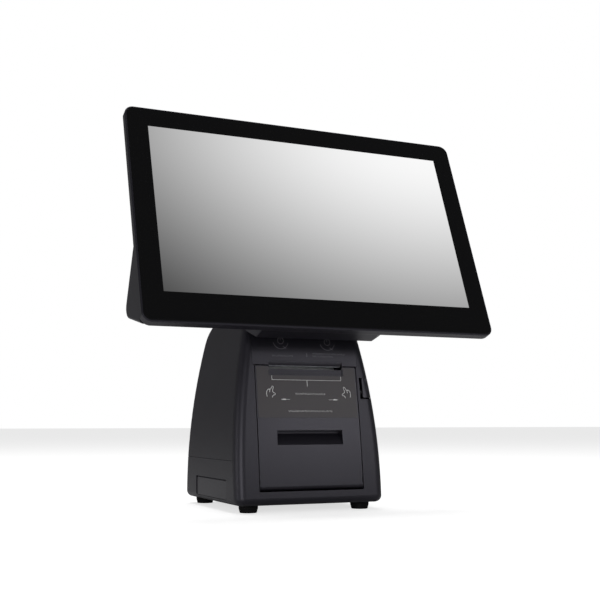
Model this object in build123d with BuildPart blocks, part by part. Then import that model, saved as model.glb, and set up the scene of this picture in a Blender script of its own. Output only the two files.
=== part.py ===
from build123d import *
import os
from math import cos, radians, sin, sqrt

os.makedirs("parts", exist_ok=True)

# Frame: X to the right, Y towards the back, Z up, origin on the counter under the middle of the
# overall box. Sizes are in millimetres.

# ---------------------------------------------------------------- driving dimensions
# Base housing. The front leans back along one long arc, the sides close in along another.
BASE_BOTTOM = 7.6          # underside of the tray above the counter
DECK = 206.0               # flat top of the base
SEAM = 52.5                # joint between tray and upper shell
FRONT_RADIUS = 1667.0      # arc of the front face, seen from the side
FRONT_LEAN = 5.0746        # its lean at the bottom, degrees
FRONT_FOOT_Y = -64.419     # front face at the bottom
SIDE_RADIUS = 720.0        # arc of each side, seen from the front
SIDE_WIDEST = 83.7         # half width at the widest level
SIDE_WIDEST_Z = 31.0
BACK_FOOT_Y = 108.74       # back face at the bottom
BACK_MIDDLE = (103.54, 90.0)
BACK_SHOULDER = (95.6, 176.0)
BACK_CROWN = (86.2, 197.2)
DECK_REAR_Y = 66.0
CORNER = 10.0              # upright corner radius
BASE_FILLET = 7.0          # round under the tray
WALL = 2.5
SPLIT = 0.35               # gap between neighbouring covers
BEZEL_DEPTH = 10.3         # how far the front bezel wraps round the corners

# Screen head, tilted back from upright.
TILT = 20.75
SCREEN_Y = -63.25          # centre of the picture area
SCREEN_Z = 306.0
FRAME_W = 391.0
FRAME_H = 250.0
FRAME_MID = -4.5           # the frame's middle is below the picture's middle
FRAME_R = 10.0
FRAME_BACK = 9.0
PANEL_BACK = 12.0          # back face of the flat rear panel
GLASS_W = 387.0
GLASS_H = 246.0
GLASS_R = 8.0
GLASS_T = 3.0
HOUSING_TOP = (-37.0, 12.1)      # (up the screen, behind the glass)
HOUSING_HEEL = (-93.4, 66.0)
HOUSING_TOE = (-126.5, 12.1)
HEEL_R = 12.0
HOUSING_HALF = 194.3
HINGE = (-91.75, 46.9)           # tilt axis, in the middle of the rounded heel

# Printer, for 80 mm paper.
LID_HALF = 58.3
LID_TOP = 150.1
LID_HINGE_Z = 26.6
LID_KNUCKLE = 4.4
SLOT_HALF = 42.6
SLOT_FLOOR = 141.0         # notch in the lid's upper edge
SLOT_ROOF = 155.0          # notch in the panel above
BUCKET_Y = -1.0
BUCKET_Z = 84.0
BUCKET_R = 42.0
ROLLER_Y = -36.5
ROLLER_Z = 141.5
ROLLER_R = 6.0
PLATE_IN = 41.8            # inner face of the printer's side plates
PLATE_OUT = 43.8
MODULE = 0.8               # gear module
ROLLER_TEETH = 16
IDLER_TEETH = 36
PINION_TEETH = 12
HEAD_PIVOT = (-24.0, 160.0)

# Release button on the right front corner.
BUTTON_LOW = 117.8
BUTTON_HIGH = 138.7
BUTTON_LEFT = 65.4

# Feet
FOOT_X = 63.7
FOOT_FRONT_Y = -43.4
FOOT_BACK_Y = 94.0
FOOT_TOP_R = 9.9
FOOT_LOW_R = 8.6

SIN = sin(radians(TILT))
COS = cos(radians(TILT))
FACE = Plane(origin=(0, SCREEN_Y, SCREEN_Z), x_dir=(1, 0, 0), z_dir=(0, -COS, SIN))
TO_USER = Axis(FACE.origin, FACE.z_dir)
HUGE = 400.0


def face_plane(back):
    """Plane parallel to the screen, `back` mm behind the glass front, facing the user."""
    return FACE.offset(-back)


def on_head(up, back):
    """(y, z) of the point `up` mm up the screen and `back` mm behind its front."""
    return (SCREEN_Y + up * SIN + back * COS, SCREEN_Z + up * COS - back * SIN)


def front_y(z, inset=0.0):
    """Y of the base's front face at height z, or of a surface `inset` behind it."""
    centre_y = FRONT_FOOT_Y + FRONT_RADIUS * cos(radians(FRONT_LEAN))
    centre_z = BASE_BOTTOM - FRONT_RADIUS * sin(radians(FRONT_LEAN))
    radius = FRONT_RADIUS - inset
    return centre_y - sqrt(radius**2 - (z - centre_z) ** 2)


def side_x(z, inset=0.0):
    """Half width of the base at height z, or of a surface `inset` inside it."""
    radius = SIDE_RADIUS - inset
    return SIDE_WIDEST - SIDE_RADIUS + sqrt(radius**2 - (z - SIDE_WIDEST_Z) ** 2)


def save(part, name):
    """Label one finished piece and write it to its own file."""
    part.label = name
    export_step(part, f"parts/{name}.step")


# ---------------------------------------------------------------- base envelope
def base_block(inset, corner):
    """Solid inside the base's curved faces, all moved `inset` inwards."""
    middle_z = (BASE_BOTTOM + DECK) / 2
    with BuildPart() as block:
        with BuildSketch(Plane.YZ):
            with BuildLine():
                ThreePointArc(
                    (front_y(BASE_BOTTOM), BASE_BOTTOM),
                    (front_y(middle_z), middle_z),
                    (front_y(DECK), DECK),
                )
                Line((front_y(DECK), DECK), (DECK_REAR_Y, DECK))
                ThreePointArc((DECK_REAR_Y, DECK), BACK_CROWN, BACK_SHOULDER)
                ThreePointArc(BACK_SHOULDER, BACK_MIDDLE, (BACK_FOOT_Y, BASE_BOTTOM))
                Line((BACK_FOOT_Y, BASE_BOTTOM), (front_y(BASE_BOTTOM), BASE_BOTTOM))
            make_face()
            if inset:
                offset(amount=-inset)
        extrude(amount=HUGE / 2, both=True)
        with BuildSketch(Plane.XZ):
            with BuildLine():
                for side in (-1, 1):
                    ThreePointArc(
                        (side * side_x(BASE_BOTTOM), BASE_BOTTOM),
                        (side * side_x(middle_z), middle_z),
                        (side * side_x(DECK), DECK),
                    )
                Line((-side_x(BASE_BOTTOM), BASE_BOTTOM), (side_x(BASE_BOTTOM), BASE_BOTTOM))
                Line((-side_x(DECK), DECK), (side_x(DECK), DECK))
            make_face()
            if inset:
                offset(amount=-inset)
        extrude(amount=HUGE / 2, both=True, mode=Mode.INTERSECT)
        rear_crease = block.edges().filter_by(Axis.X).sort_by(Axis.Z)[1:-1]
        base_edges = block.edges().group_by(Axis.Z)[0]
        fillet(block.edges() - rear_crease - base_edges, radius=corner)
        if not inset:
            fillet(block.edges().group_by(Axis.Z)[0], radius=BASE_FILLET)
    return block.part


def front_slice(depth):
    """Everything up to `depth` mm behind the base's front face."""
    with BuildPart() as piece:
        with BuildSketch(Plane.YZ):
            with BuildLine():
                ThreePointArc(
                    (front_y(0, depth), 0), (front_y(110, depth), 110), (front_y(220, depth), 220)
                )
                Polyline(
                    (front_y(220, depth), 220), (-HUGE, 220), (-HUGE, 0), (front_y(0, depth), 0)
                )
            make_face()
        extrude(amount=HUGE / 2, both=True)
    return piece.part


outer = base_block(0, CORNER)
inner = base_block(WALL, CORNER - WALL)


def between(low, high, mode=Mode.ADD):
    """Add a box given by its lowest and highest corners to the open part."""
    with Locations(tuple((a + b) / 2 for a, b in zip(low, high))):
        Box(*[b - a for a, b in zip(low, high)], mode=mode)


def rod_x(x_from, x_to, y, z, radius, mode=Mode.ADD):
    """Add a round bar along X to the open part."""
    with Locations(Location(((x_from + x_to) / 2, y, z), (0, 90, 0))):
        Cylinder(radius, abs(x_to - x_from), mode=mode)


# ---------------------------------------------------------------- base covers
COVER_LOW = 12.0           # cable cover cut-outs in the tray's sides
COVER_HIGH = 32.8
COVER_FRONT = -31.3
COVER_REAR = 66.0
COVER_T = 2.0
WINDOW_HALF = 56.0         # connector window in the tray's back
WINDOW_LOW = 16.0
WINDOW_HIGH = 46.0
SCREW_PLACES = [(x, y) for x in (-62, 62) for y in (-22, 26, 76)]

with BuildPart() as base_tray:
    add(outer)
    add(inner, mode=Mode.SUBTRACT)
    add(front_slice(BEZEL_DEPTH + SPLIT), mode=Mode.SUBTRACT)
    between((-HUGE, -HUGE, SEAM - SPLIT / 2), (HUGE, HUGE, HUGE), Mode.SUBTRACT)
    between((-HUGE, COVER_FRONT, COVER_LOW), (HUGE, COVER_REAR, COVER_HIGH), Mode.SUBTRACT)
    between(
        (-WINDOW_HALF, BACK_FOOT_Y - 30, WINDOW_LOW), (WINDOW_HALF, HUGE, WINDOW_HIGH), Mode.SUBTRACT
    )
    with BuildSketch(Plane.XY.offset(BASE_BOTTOM)):
        with Locations(*SCREW_PLACES):
            Circle(3.2)
    extrude(amount=1.5, mode=Mode.SUBTRACT)
    with BuildSketch(Plane.XY.offset(BASE_BOTTOM)):
        with Locations(*SCREW_PLACES):
            Circle(1.7)
    extrude(amount=WALL, mode=Mode.SUBTRACT)
save(base_tray.part, "base_tray")

with BuildPart() as base_screws:
    for x, y in SCREW_PLACES:
        with BuildSketch(Plane.XY.offset(BASE_BOTTOM + 0.1)):
            with Locations((x, y)):
                Circle(2.9)
                RegularPolygon(1.25, 6, mode=Mode.SUBTRACT)
        extrude(amount=1.3)
        with BuildSketch(Plane.XY.offset(BASE_BOTTOM + 1.2)):
            with Locations((x, y)):
                Circle(1.5)
        extrude(amount=9.0)
save(base_screws.part, "base_screws")

with BuildPart() as rubber_feet:
    with BuildSketch(Plane.XY):
        with Locations(*[(x, y) for x in (-FOOT_X, FOOT_X) for y in (FOOT_FRONT_Y, FOOT_BACK_Y)]):
            Circle(FOOT_TOP_R)
    extrude(amount=BASE_BOTTOM)
    chamfer(rubber_feet.edges().group_by(Axis.Z)[0], length=4.5, length2=FOOT_TOP_R - FOOT_LOW_R)
save(rubber_feet.part, "rubber_feet")

with BuildPart() as ballast_plate:
    with BuildSketch(Plane.XY.offset(BASE_BOTTOM + WALL + 0.2)):
        with Locations((0, 25)):
            RectangleRounded(140, 136, 6)
        with Locations(*SCREW_PLACES):
            Circle(1.7, mode=Mode.SUBTRACT)
    extrude(amount=4.9)
save(ballast_plate.part, "ballast_plate")

deeper = base_block(WALL + COVER_T, CORNER - WALL - COVER_T)
with BuildPart() as cover_pads:
    add(base_block(0.6, CORNER - 0.6))
    add(deeper, mode=Mode.SUBTRACT)
    between(
        (-HUGE, COVER_FRONT + 0.4, COVER_LOW + 0.4),
        (HUGE, COVER_REAR - 2.4, COVER_HIGH - 0.8),
        Mode.INTERSECT,
    )
    with BuildSketch(Plane.XZ):
        for side in (-1, 1):
            Polygon((side * 81.3, 34.0), (side * 85.0, 34.0), (side * 85.0, 28.4), align=None)
    extrude(amount=HUGE / 2, both=True, mode=Mode.SUBTRACT)
with BuildPart() as cable_covers:
    add(inner)
    add(deeper, mode=Mode.SUBTRACT)
    between(
        (-HUGE, COVER_FRONT - 2.5, COVER_LOW + 0.3),
        (HUGE, COVER_REAR + 2.5, COVER_HIGH + 3),
        Mode.INTERSECT,
    )
    add(cover_pads.part)
    between((-73, -HUGE, 0), (73, HUGE, HUGE), Mode.SUBTRACT)
save(cable_covers.part, "cable_covers")

TOP_COVER = (100.0, 56.0)
TOP_COVER_Y = 8.0
with BuildPart() as body_shell:
    add(outer)
    add(inner, mode=Mode.SUBTRACT)
    add(front_slice(BEZEL_DEPTH + SPLIT), mode=Mode.SUBTRACT)
    between((-HUGE, -HUGE, -HUGE), (HUGE, HUGE, SEAM + SPLIT / 2), Mode.SUBTRACT)
    with BuildSketch(Plane.XY.offset(DECK - 1.3)):
        with Locations((0, TOP_COVER_Y)):
            RectangleRounded(TOP_COVER[0] + 0.6, TOP_COVER[1] + 0.6, 5.3)
    extrude(amount=2, mode=Mode.SUBTRACT)
    with BuildSketch(Plane.XY.offset(DECK - 4)):
        with Locations((0, TOP_COVER_Y)):
            RectangleRounded(TOP_COVER[0] - 6, TOP_COVER[1] - 6, 3)
    extrude(amount=6, mode=Mode.SUBTRACT)
save(body_shell.part, "body_shell")

with BuildPart() as top_cover:
    with BuildSketch(Plane.XY.offset(DECK - 1.25)):
        with Locations((0, TOP_COVER_Y)):
            RectangleRounded(TOP_COVER[0], TOP_COVER[1], 5)
    extrude(amount=1.25)
    with BuildSketch(Plane.XY.offset(DECK - 3.5)):
        with Locations((0, TOP_COVER_Y)):
            RectangleRounded(TOP_COVER[0] - 7, TOP_COVER[1] - 7, 2.5)
            RectangleRounded(TOP_COVER[0] - 11, TOP_COVER[1] - 11, 1.5, mode=Mode.SUBTRACT)
    extrude(amount=2.3)
save(top_cover.part, "top_cover")

# Front bezel: an open-topped frame that wraps the two front corners.
OPENING_LOW = 21.4
OPENING_HALF = 59.2        # beside the lid
PANEL_HALF = 61.0          # the upper panel is a little wider
PANEL_LOW = LID_TOP + 1.2
LIP_DEPTH = 8.0
LIP_T = 4.2
LID_HINGE_Y = front_y(LID_HINGE_Z) + LID_KNUCKLE
PIN_R = 2.0
RUNNING = 0.05             # radial clearance of a turning pin

with BuildPart() as bezel_lips:
    add(front_slice(LIP_DEPTH))
    between(
        (-OPENING_HALF - LIP_T, -HUGE, OPENING_LOW - LIP_T),
        (OPENING_HALF + LIP_T, HUGE, DECK),
        Mode.INTERSECT,
    )

with BuildPart() as bezel_cavity:
    add(inner)
    add(bezel_lips.part, mode=Mode.SUBTRACT)

with BuildPart() as front_bezel:
    add(outer)
    add(front_slice(BEZEL_DEPTH), mode=Mode.INTERSECT)
    add(bezel_cavity.part, mode=Mode.SUBTRACT)
    between((-OPENING_HALF, -HUGE, OPENING_LOW), (OPENING_HALF, HUGE, HUGE), Mode.SUBTRACT)
    between((-PANEL_HALF - 0.3, -HUGE, PANEL_LOW - 0.4), (PANEL_HALF + 0.3, HUGE, HUGE), Mode.SUBTRACT)
    for side in (-1, 1):
        x_low, x_high = sorted((side * OPENING_HALF, side * (OPENING_HALF + LIP_T)))
        between((x_low, -61.5, 20.0), (x_high, -51.5, 34.0))
        rod_x(x_low, x_high, LID_HINGE_Y, LID_HINGE_Z, PIN_R, Mode.SUBTRACT)
    between((BUTTON_LEFT - 3.5, -HUGE, BUTTON_LOW - 1.5), (74.0, HUGE, BUTTON_HIGH + SPLIT), Mode.SUBTRACT)
    between((70.0, -HUGE, BUTTON_LOW - SPLIT), (HUGE, HUGE, BUTTON_HIGH + SPLIT), Mode.SUBTRACT)
save(front_bezel.part, "front_bezel")

# Upper panel, above the paper slot; the hinge arms come out through it.
ARM_X = 45.0
ARM_T = 4.0
with BuildPart() as upper_panel:
    add(outer)
    add(inner, mode=Mode.SUBTRACT)
    add(front_slice(BEZEL_DEPTH), mode=Mode.INTERSECT)
    between((-PANEL_HALF, -HUGE, PANEL_LOW), (PANEL_HALF, HUGE, HUGE), Mode.INTERSECT)
    between((-SLOT_HALF, -HUGE, PANEL_LOW), (SLOT_HALF, HUGE, SLOT_ROOF), Mode.SUBTRACT)
    for x in (-ARM_X, ARM_X):
        between((x - ARM_T / 2 - 1, -HUGE, 183.0), (x + ARM_T / 2 + 1, HUGE, HUGE), Mode.SUBTRACT)
save(upper_panel.part, "upper_panel")

with BuildPart() as tear_bar_holder:
    holder_y = front_y(SLOT_ROOF)
    with BuildSketch(Plane.YZ):
        with BuildLine():
            Polyline(
                (holder_y + 1.0, SLOT_ROOF - 0.2),
                (holder_y + 10.0, SLOT_ROOF - 0.2),
                (holder_y + 10.0, 150.9),
                (holder_y + 3.4, 150.9),
                (holder_y + 1.0, 153.4),
                close=True,
            )
        make_face()
    extrude(amount=SLOT_HALF - 0.3, both=True)
save(tear_bar_holder.part, "tear_bar_holder")

TOOTH_PITCH = 1.6
with BuildPart() as tear_blade:
    blade_front = front_y(150.0) + 2.0
    teeth = int(2 * (SLOT_HALF - 1) / TOOTH_PITCH)
    outline = [(-SLOT_HALF + 1, blade_front + 7), (-SLOT_HALF + 1, blade_front + 1)]
    for i in range(teeth):
        left = -SLOT_HALF + 1 + i * TOOTH_PITCH
        outline += [(left + TOOTH_PITCH / 2, blade_front), (left + TOOTH_PITCH, blade_front + 1)]
    outline += [(outline[-1][0], blade_front + 7)]
    with BuildSketch(Plane.XY.offset(150.05)):
        with BuildLine():
            Polyline(*outline, close=True)
        make_face()
    extrude(amount=0.8)
save(tear_blade.part, "tear_blade")

# ---------------------------------------------------------------- paper lid
OVERLAY_T = 0.2
OVERLAY_LOW = 96.3
POCKET_LOW = 67.8
POCKET_HIGH = 83.2
POCKET_HALF = 37.4

with BuildPart() as lid_bars:
    add(front_slice(8.5))
    between((-LID_HALF, -HUGE, 33.0), (LID_HALF, HUGE, LID_TOP - 1.5), Mode.INTERSECT)
    between((-LID_HALF + 2, -HUGE, 0), (LID_HALF - 2, HUGE, HUGE), Mode.SUBTRACT)

with BuildPart() as overlay_recess:
    add(front_slice(OVERLAY_T + 0.02))
    between((-HUGE, -HUGE, OVERLAY_LOW - 0.2), (HUGE, HUGE, HUGE), Mode.INTERSECT)

with BuildPart() as paper_lid:
    middle = (LID_HINGE_Z + LID_TOP) / 2
    with BuildSketch(Plane.YZ):
        with BuildLine():
            ThreePointArc(
                (front_y(LID_HINGE_Z), LID_HINGE_Z), (front_y(middle), middle), (front_y(LID_TOP), LID_TOP)
            )
            ThreePointArc(
                (front_y(LID_HINGE_Z, WALL), LID_HINGE_Z),
                (front_y(middle, WALL), middle),
                (front_y(LID_TOP, WALL), LID_TOP),
            )
            Line((front_y(LID_TOP), LID_TOP), (front_y(LID_TOP, WALL), LID_TOP))
            Line((front_y(LID_HINGE_Z), LID_HINGE_Z), (front_y(LID_HINGE_Z, WALL), LID_HINGE_Z))
        make_face()
        with Locations((LID_HINGE_Y, LID_HINGE_Z)):
            Circle(LID_KNUCKLE)
    extrude(amount=LID_HALF, both=True)
    upright_edges = [e for e in paper_lid.edges() if e.bounding_box().size.Z > 90]
    fillet([e for e in upright_edges if e.center().Y < front_y(middle, 1.0)], radius=1.0)
    add(lid_bars.part)
    add(outer, mode=Mode.INTERSECT)
    with BuildSketch(Plane.YZ):
        with BuildLine():
            Polyline(
                (front_y(64) + 1, 64),
                (front_y(88) + 1, 88),
                (front_y(88) + 10.6, 86.5),
                (front_y(84) + 10.6, 79),
                (front_y(64) + 3, 64),
                close=True,
            )
        make_face()
    extrude(amount=POCKET_HALF + 2.2, both=True)
    with BuildSketch(Plane.YZ):
        with BuildLine():
            floor_end = (front_y(POCKET_HIGH) + 7.4, 79.8)
            Polyline(
                floor_end,
                (floor_end[0], POCKET_HIGH),
                (front_y(POCKET_HIGH) - 3, POCKET_HIGH),
                (front_y(POCKET_LOW) - 0.2, POCKET_LOW),
            )
            ThreePointArc((front_y(POCKET_LOW) - 0.2, POCKET_LOW), (front_y(74) + 3.2, 74.0), floor_end)
        make_face()
    extrude(amount=POCKET_HALF, both=True, mode=Mode.SUBTRACT)
    between((-SLOT_HALF, -HUGE, SLOT_FLOOR), (SLOT_HALF, HUGE, HUGE), Mode.SUBTRACT)
    add(overlay_recess.part, mode=Mode.SUBTRACT)
    for side in (-1, 1):
        rod_x(side * 49.8, side * (LID_HALF + 1), LID_HINGE_Y, LID_HINGE_Z, PIN_R + RUNNING, Mode.SUBTRACT)
save(paper_lid.part, "paper_lid")

with BuildPart() as lid_overlay:
    add(outer)
    add(front_slice(OVERLAY_T), mode=Mode.INTERSECT)
    between((-LID_HALF + 1.2, -HUGE, OVERLAY_LOW), (LID_HALF - 1.2, HUGE, LID_TOP - 0.8), Mode.INTERSECT)
    between((-SLOT_HALF - 0.8, -HUGE, SLOT_FLOOR - 0.8), (SLOT_HALF + 0.8, HUGE, HUGE), Mode.SUBTRACT)
save(lid_overlay.part, "lid_overlay")

with BuildPart() as lip_tab:
    add(front_slice(3.4))
    add(front_slice(WALL + 0.1), mode=Mode.SUBTRACT)
    between((-SLOT_HALF + 0.3, -HUGE, 137.5), (SLOT_HALF - 0.3, HUGE, 144.0), Mode.INTERSECT)

with BuildPart() as lid_lip:
    add(front_slice(3.4))
    add(front_slice(1.2), mode=Mode.SUBTRACT)
    between(
        (-SLOT_HALF + 0.3, -HUGE, SLOT_FLOOR + 0.2), (SLOT_HALF - 0.3, HUGE, 147.0), Mode.INTERSECT
    )
    add(lip_tab.part)
save(lid_lip.part, "lid_lip")

LID_ARM_IN = 45.2
LID_ARM_OUT = 47.2
SHAFT_R = 2.5
with BuildPart() as frame_arms:
    add(front_slice(12.0))
    add(front_slice(WALL + 0.1), mode=Mode.SUBTRACT)
    between((-LID_ARM_OUT, -HUGE, 34.0), (LID_ARM_OUT, HUGE, 147.5), Mode.INTERSECT)
    between((-LID_ARM_IN, -HUGE, 0), (LID_ARM_IN, HUGE, HUGE), Mode.SUBTRACT)
with BuildPart() as frame_webs:
    add(front_slice(4.1))
    add(front_slice(WALL + 0.1), mode=Mode.SUBTRACT)
    between((-LID_ARM_OUT, -HUGE, 34.0), (LID_ARM_OUT, HUGE, 137.2), Mode.INTERSECT)
    between((-HUGE, -HUGE, 62.0), (HUGE, HUGE, 90.0), Mode.SUBTRACT)
with BuildPart() as lid_frame:
    add(frame_arms.part)
    add(frame_webs.part)
    for side in (-1, 1):
        rod_x(side * LID_ARM_IN, side * LID_ARM_OUT, ROLLER_Y, ROLLER_Z, 5.0)
    rod_x(-LID_HALF, LID_HALF, ROLLER_Y, ROLLER_Z, SHAFT_R + RUNNING, Mode.SUBTRACT)
save(lid_frame.part, "lid_frame")

with BuildPart() as lid_hinge_pins:
    for side in (-1, 1):
        rod_x(side * 50.0, side * (OPENING_HALF + LIP_T), LID_HINGE_Y, LID_HINGE_Z, PIN_R)
save(lid_hinge_pins.part, "lid_hinge_pins")

# ---------------------------------------------------------------- platen roller and gear train
GEAR_OUT = -52.0
GEAR_IN = -48.0
MESH_ANGLE = -10.7         # direction from roller to idler, along which they part


def gear_outline(teeth, tooth_angle):
    """Outline of a spur gear with one tooth centred at tooth_angle (degrees)."""
    pitch_r = MODULE * teeth / 2
    root_r = pitch_r - 1.25 * MODULE
    tip_r = pitch_r + 0.95 * MODULE
    flank = [(root_r, -0.33), (pitch_r, -0.222), (tip_r, -0.105)]
    flank += [(radius, -part) for radius, part in reversed(flank)]
    step = 360 / teeth
    points = []
    for i in range(teeth):
        for radius, part in flank:
            angle = radians(tooth_angle + (i + part) * step)
            points.append((radius * cos(angle), radius * sin(angle)))
    return points


def pitch_sum(teeth_a, teeth_b):
    """Centre distance of two meshing gears."""
    return MODULE * (teeth_a + teeth_b) / 2


def step_from(place, distance, angle):
    """(y, z) a given distance away from place, in direction angle (degrees)."""
    return (place[0] + distance * cos(radians(angle)), place[1] + distance * sin(radians(angle)))


def gear(place, teeth, tooth_angle, bore, hub=0.0):
    """A spur gear on an X axis through place (y, z)."""
    with BuildPart() as wheel:
        with BuildSketch(Plane.YZ.offset(GEAR_OUT)):
            with Locations(place):
                Polygon(*gear_outline(teeth, tooth_angle), align=None)
        extrude(amount=GEAR_IN - GEAR_OUT)
        if hub:
            rod_x(GEAR_IN, GEAR_IN + 2.0, *place, hub)
        rod_x(GEAR_OUT - 5, GEAR_IN + 5, *place, bore, Mode.SUBTRACT)
    return wheel.part


ROLLER = (ROLLER_Y, ROLLER_Z)
IDLER = step_from(ROLLER, pitch_sum(ROLLER_TEETH, IDLER_TEETH), MESH_ANGLE)
IDLER_PHASE = MESH_ANGLE + 180 + 180 / IDLER_TEETH
PINION_ANGLE = IDLER_PHASE - 14 * 360 / IDLER_TEETH
PINION = step_from(IDLER, pitch_sum(IDLER_TEETH, PINION_TEETH), PINION_ANGLE)
PINION_PHASE = PINION_ANGLE + 180 + 180 / PINION_TEETH
MOTOR_SHAFT_R = 1.25

save(gear(ROLLER, ROLLER_TEETH, MESH_ANGLE, SHAFT_R), "platen_gear")
save(gear(IDLER, IDLER_TEETH, IDLER_PHASE, PIN_R + RUNNING, hub=4.5), "idler_gear")
save(gear(PINION, PINION_TEETH, PINION_PHASE, MOTOR_SHAFT_R), "motor_pinion")

with BuildPart() as platen_roller:
    rod_x(-40.6, 40.6, *ROLLER, ROLLER_R)
    rod_x(-50, 50, *ROLLER, SHAFT_R, Mode.SUBTRACT)
    fillet(platen_roller.edges().filter_by(GeomType.CIRCLE).sort_by(SortBy.RADIUS)[-2:], radius=0.6)
save(platen_roller.part, "platen_roller")

with BuildPart() as platen_shaft:
    rod_x(GEAR_OUT - 0.5, 48.5, *ROLLER, SHAFT_R)
save(platen_shaft.part, "platen_shaft")

with BuildPart() as platen_bushings:
    for side in (-1, 1):
        rod_x(side * 41.9, side * 43.7, *ROLLER, 4.0)
    rod_x(-50, 50, *ROLLER, SHAFT_R + RUNNING, Mode.SUBTRACT)
save(platen_bushings.part, "platen_bushings")

with BuildPart() as idler_pin:
    rod_x(-PLATE_IN, GEAR_OUT - 1.2, *IDLER, PIN_R)
save(idler_pin.part, "idler_pin")

with BuildPart() as motor_shaft:
    rod_x(-30.0, GEAR_OUT - 0.5, *PINION, MOTOR_SHAFT_R)
save(motor_shaft.part, "motor_shaft")

with BuildPart() as stepper_motor:
    rod_x(-41.6, -21.6, *PINION, 17.4)
    chamfer(stepper_motor.edges().filter_by(GeomType.CIRCLE), length=1.0)
    rod_x(-41.7, -29.5, *PINION, MOTOR_SHAFT_R + RUNNING, Mode.SUBTRACT)
save(stepper_motor.part, "stepper_motor")

# ---------------------------------------------------------------- printer chassis
SEAT_Z = ROLLER_Z - 4.1    # the bushings sit on this shelf
SEAT_Y = ROLLER_Y + 4.1
PLATE_FOOT = 15.2
SPRING_WALL_Y = -19.6

with BuildPart() as printer_chassis:
    with BuildSketch(Plane.YZ.offset(-PLATE_OUT)):
        with BuildLine():
            Polyline(
                (-50, PLATE_FOOT),
                (-50, 40),
                (front_y(76) + 7.5, 76),
                (front_y(SEAT_Z) + 7.5, SEAT_Z),
                (SEAT_Y, SEAT_Z),
                (SEAT_Y, 147.5),
                (-30, 150),
                (-30, 168),
                (18, 168),
                (46, 130),
                (46, PLATE_FOOT),
                close=True,
            )
        make_face()
    extrude(amount=PLATE_OUT - PLATE_IN)
    mirror(about=Plane.YZ)
    with BuildSketch(Plane.YZ):
        with Locations((BUCKET_Y, BUCKET_Z)):
            Circle(BUCKET_R + 1.6)
            Circle(BUCKET_R, mode=Mode.SUBTRACT)
        with BuildLine():
            Polyline(
                (BUCKET_Y, BUCKET_Z),
                step_from((BUCKET_Y, BUCKET_Z), 150, 75),
                step_from((BUCKET_Y, BUCKET_Z), 150, 145),
                step_from((BUCKET_Y, BUCKET_Z), 150, 215),
                close=True,
            )
        make_face(mode=Mode.SUBTRACT)
    extrude(amount=PLATE_IN, both=True)
    between((-PLATE_IN, SPRING_WALL_Y, 131.0), (PLATE_IN, SPRING_WALL_Y + 1.5, 152.0))
    for x in (-42.8, 42.8):
        for z in (70, 122):
            with Locations(Location((x, 49.0, z), (90, 0, 0))):
                Cylinder(2.2, 6.0)
    between((PLATE_IN - 1, -28.5, 133.5), (PLATE_OUT + 1, -20.5, 142.5), Mode.SUBTRACT)
    rod_x(-50, 50, *HEAD_PIVOT, PIN_R, Mode.SUBTRACT)
    rod_x(-50, 0, *IDLER, PIN_R, Mode.SUBTRACT)
    rod_x(-50, 0, *PINION, 5.0, Mode.SUBTRACT)
save(printer_chassis.part, "printer_chassis")

# ---------------------------------------------------------------- thermal head
with BuildPart() as head_pivot:
    rod_x(-PLATE_OUT - 1, PLATE_OUT + 1, *HEAD_PIVOT, PIN_R)
save(head_pivot.part, "head_pivot")

with BuildPart() as head_carrier:
    between((-40.4, -25.0, 135.0), (40.4, -23.6, 160.0))
    for side in (-1, 1):
        rod_x(side * 38.4, side * 40.4, *HEAD_PIVOT, 5.0)
    between((-38.4, -40, 156.5), (38.4, -10, 170), Mode.SUBTRACT)
    between((40.4, -25.5, 136.0), (50.0, -23.6, 140.0))
    rod_x(-50, 50, *HEAD_PIVOT, PIN_R + RUNNING, Mode.SUBTRACT)
save(head_carrier.part, "head_carrier")

with BuildPart() as head_heat_sink:
    between((-40.4, -29.3, 133.5), (40.4, -25.05, 151.0))
    chamfer(head_heat_sink.edges().filter_by(Axis.X).group_by(Axis.Y)[0], length=1.0)
save(head_heat_sink.part, "head_heat_sink")

with BuildPart() as heater_strip:
    between((-40.2, -30.2, 136.0), (40.2, -29.35, 147.0))
save(heater_strip.part, "heater_strip")


def coil_spring(start, end, radius, wire_r, turns):
    """Round wire coil from start to end, both on its axis."""
    way = Vector(*end) - Vector(*start)
    with BuildPart() as coil:
        with BuildLine() as path:
            Helix(
                pitch=(way.length - 2 * wire_r) / turns,
                height=way.length - 2 * wire_r,
                radius=radius - wire_r,
                center=Vector(*start) + way.normalized() * wire_r,
                direction=way,
            )
        with BuildSketch(Plane(origin=path.line @ 0, z_dir=path.line % 0)):
            Circle(wire_r)
        sweep(is_frenet=True)
    return coil.part


with BuildPart() as head_springs:
    for x in (-24, 24):
        add(coil_spring((x, -23.5, 142.0), (x, SPRING_WALL_Y - 0.05, 142.0), 3.0, 0.3, 3))
save(head_springs.part, "head_springs")

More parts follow.
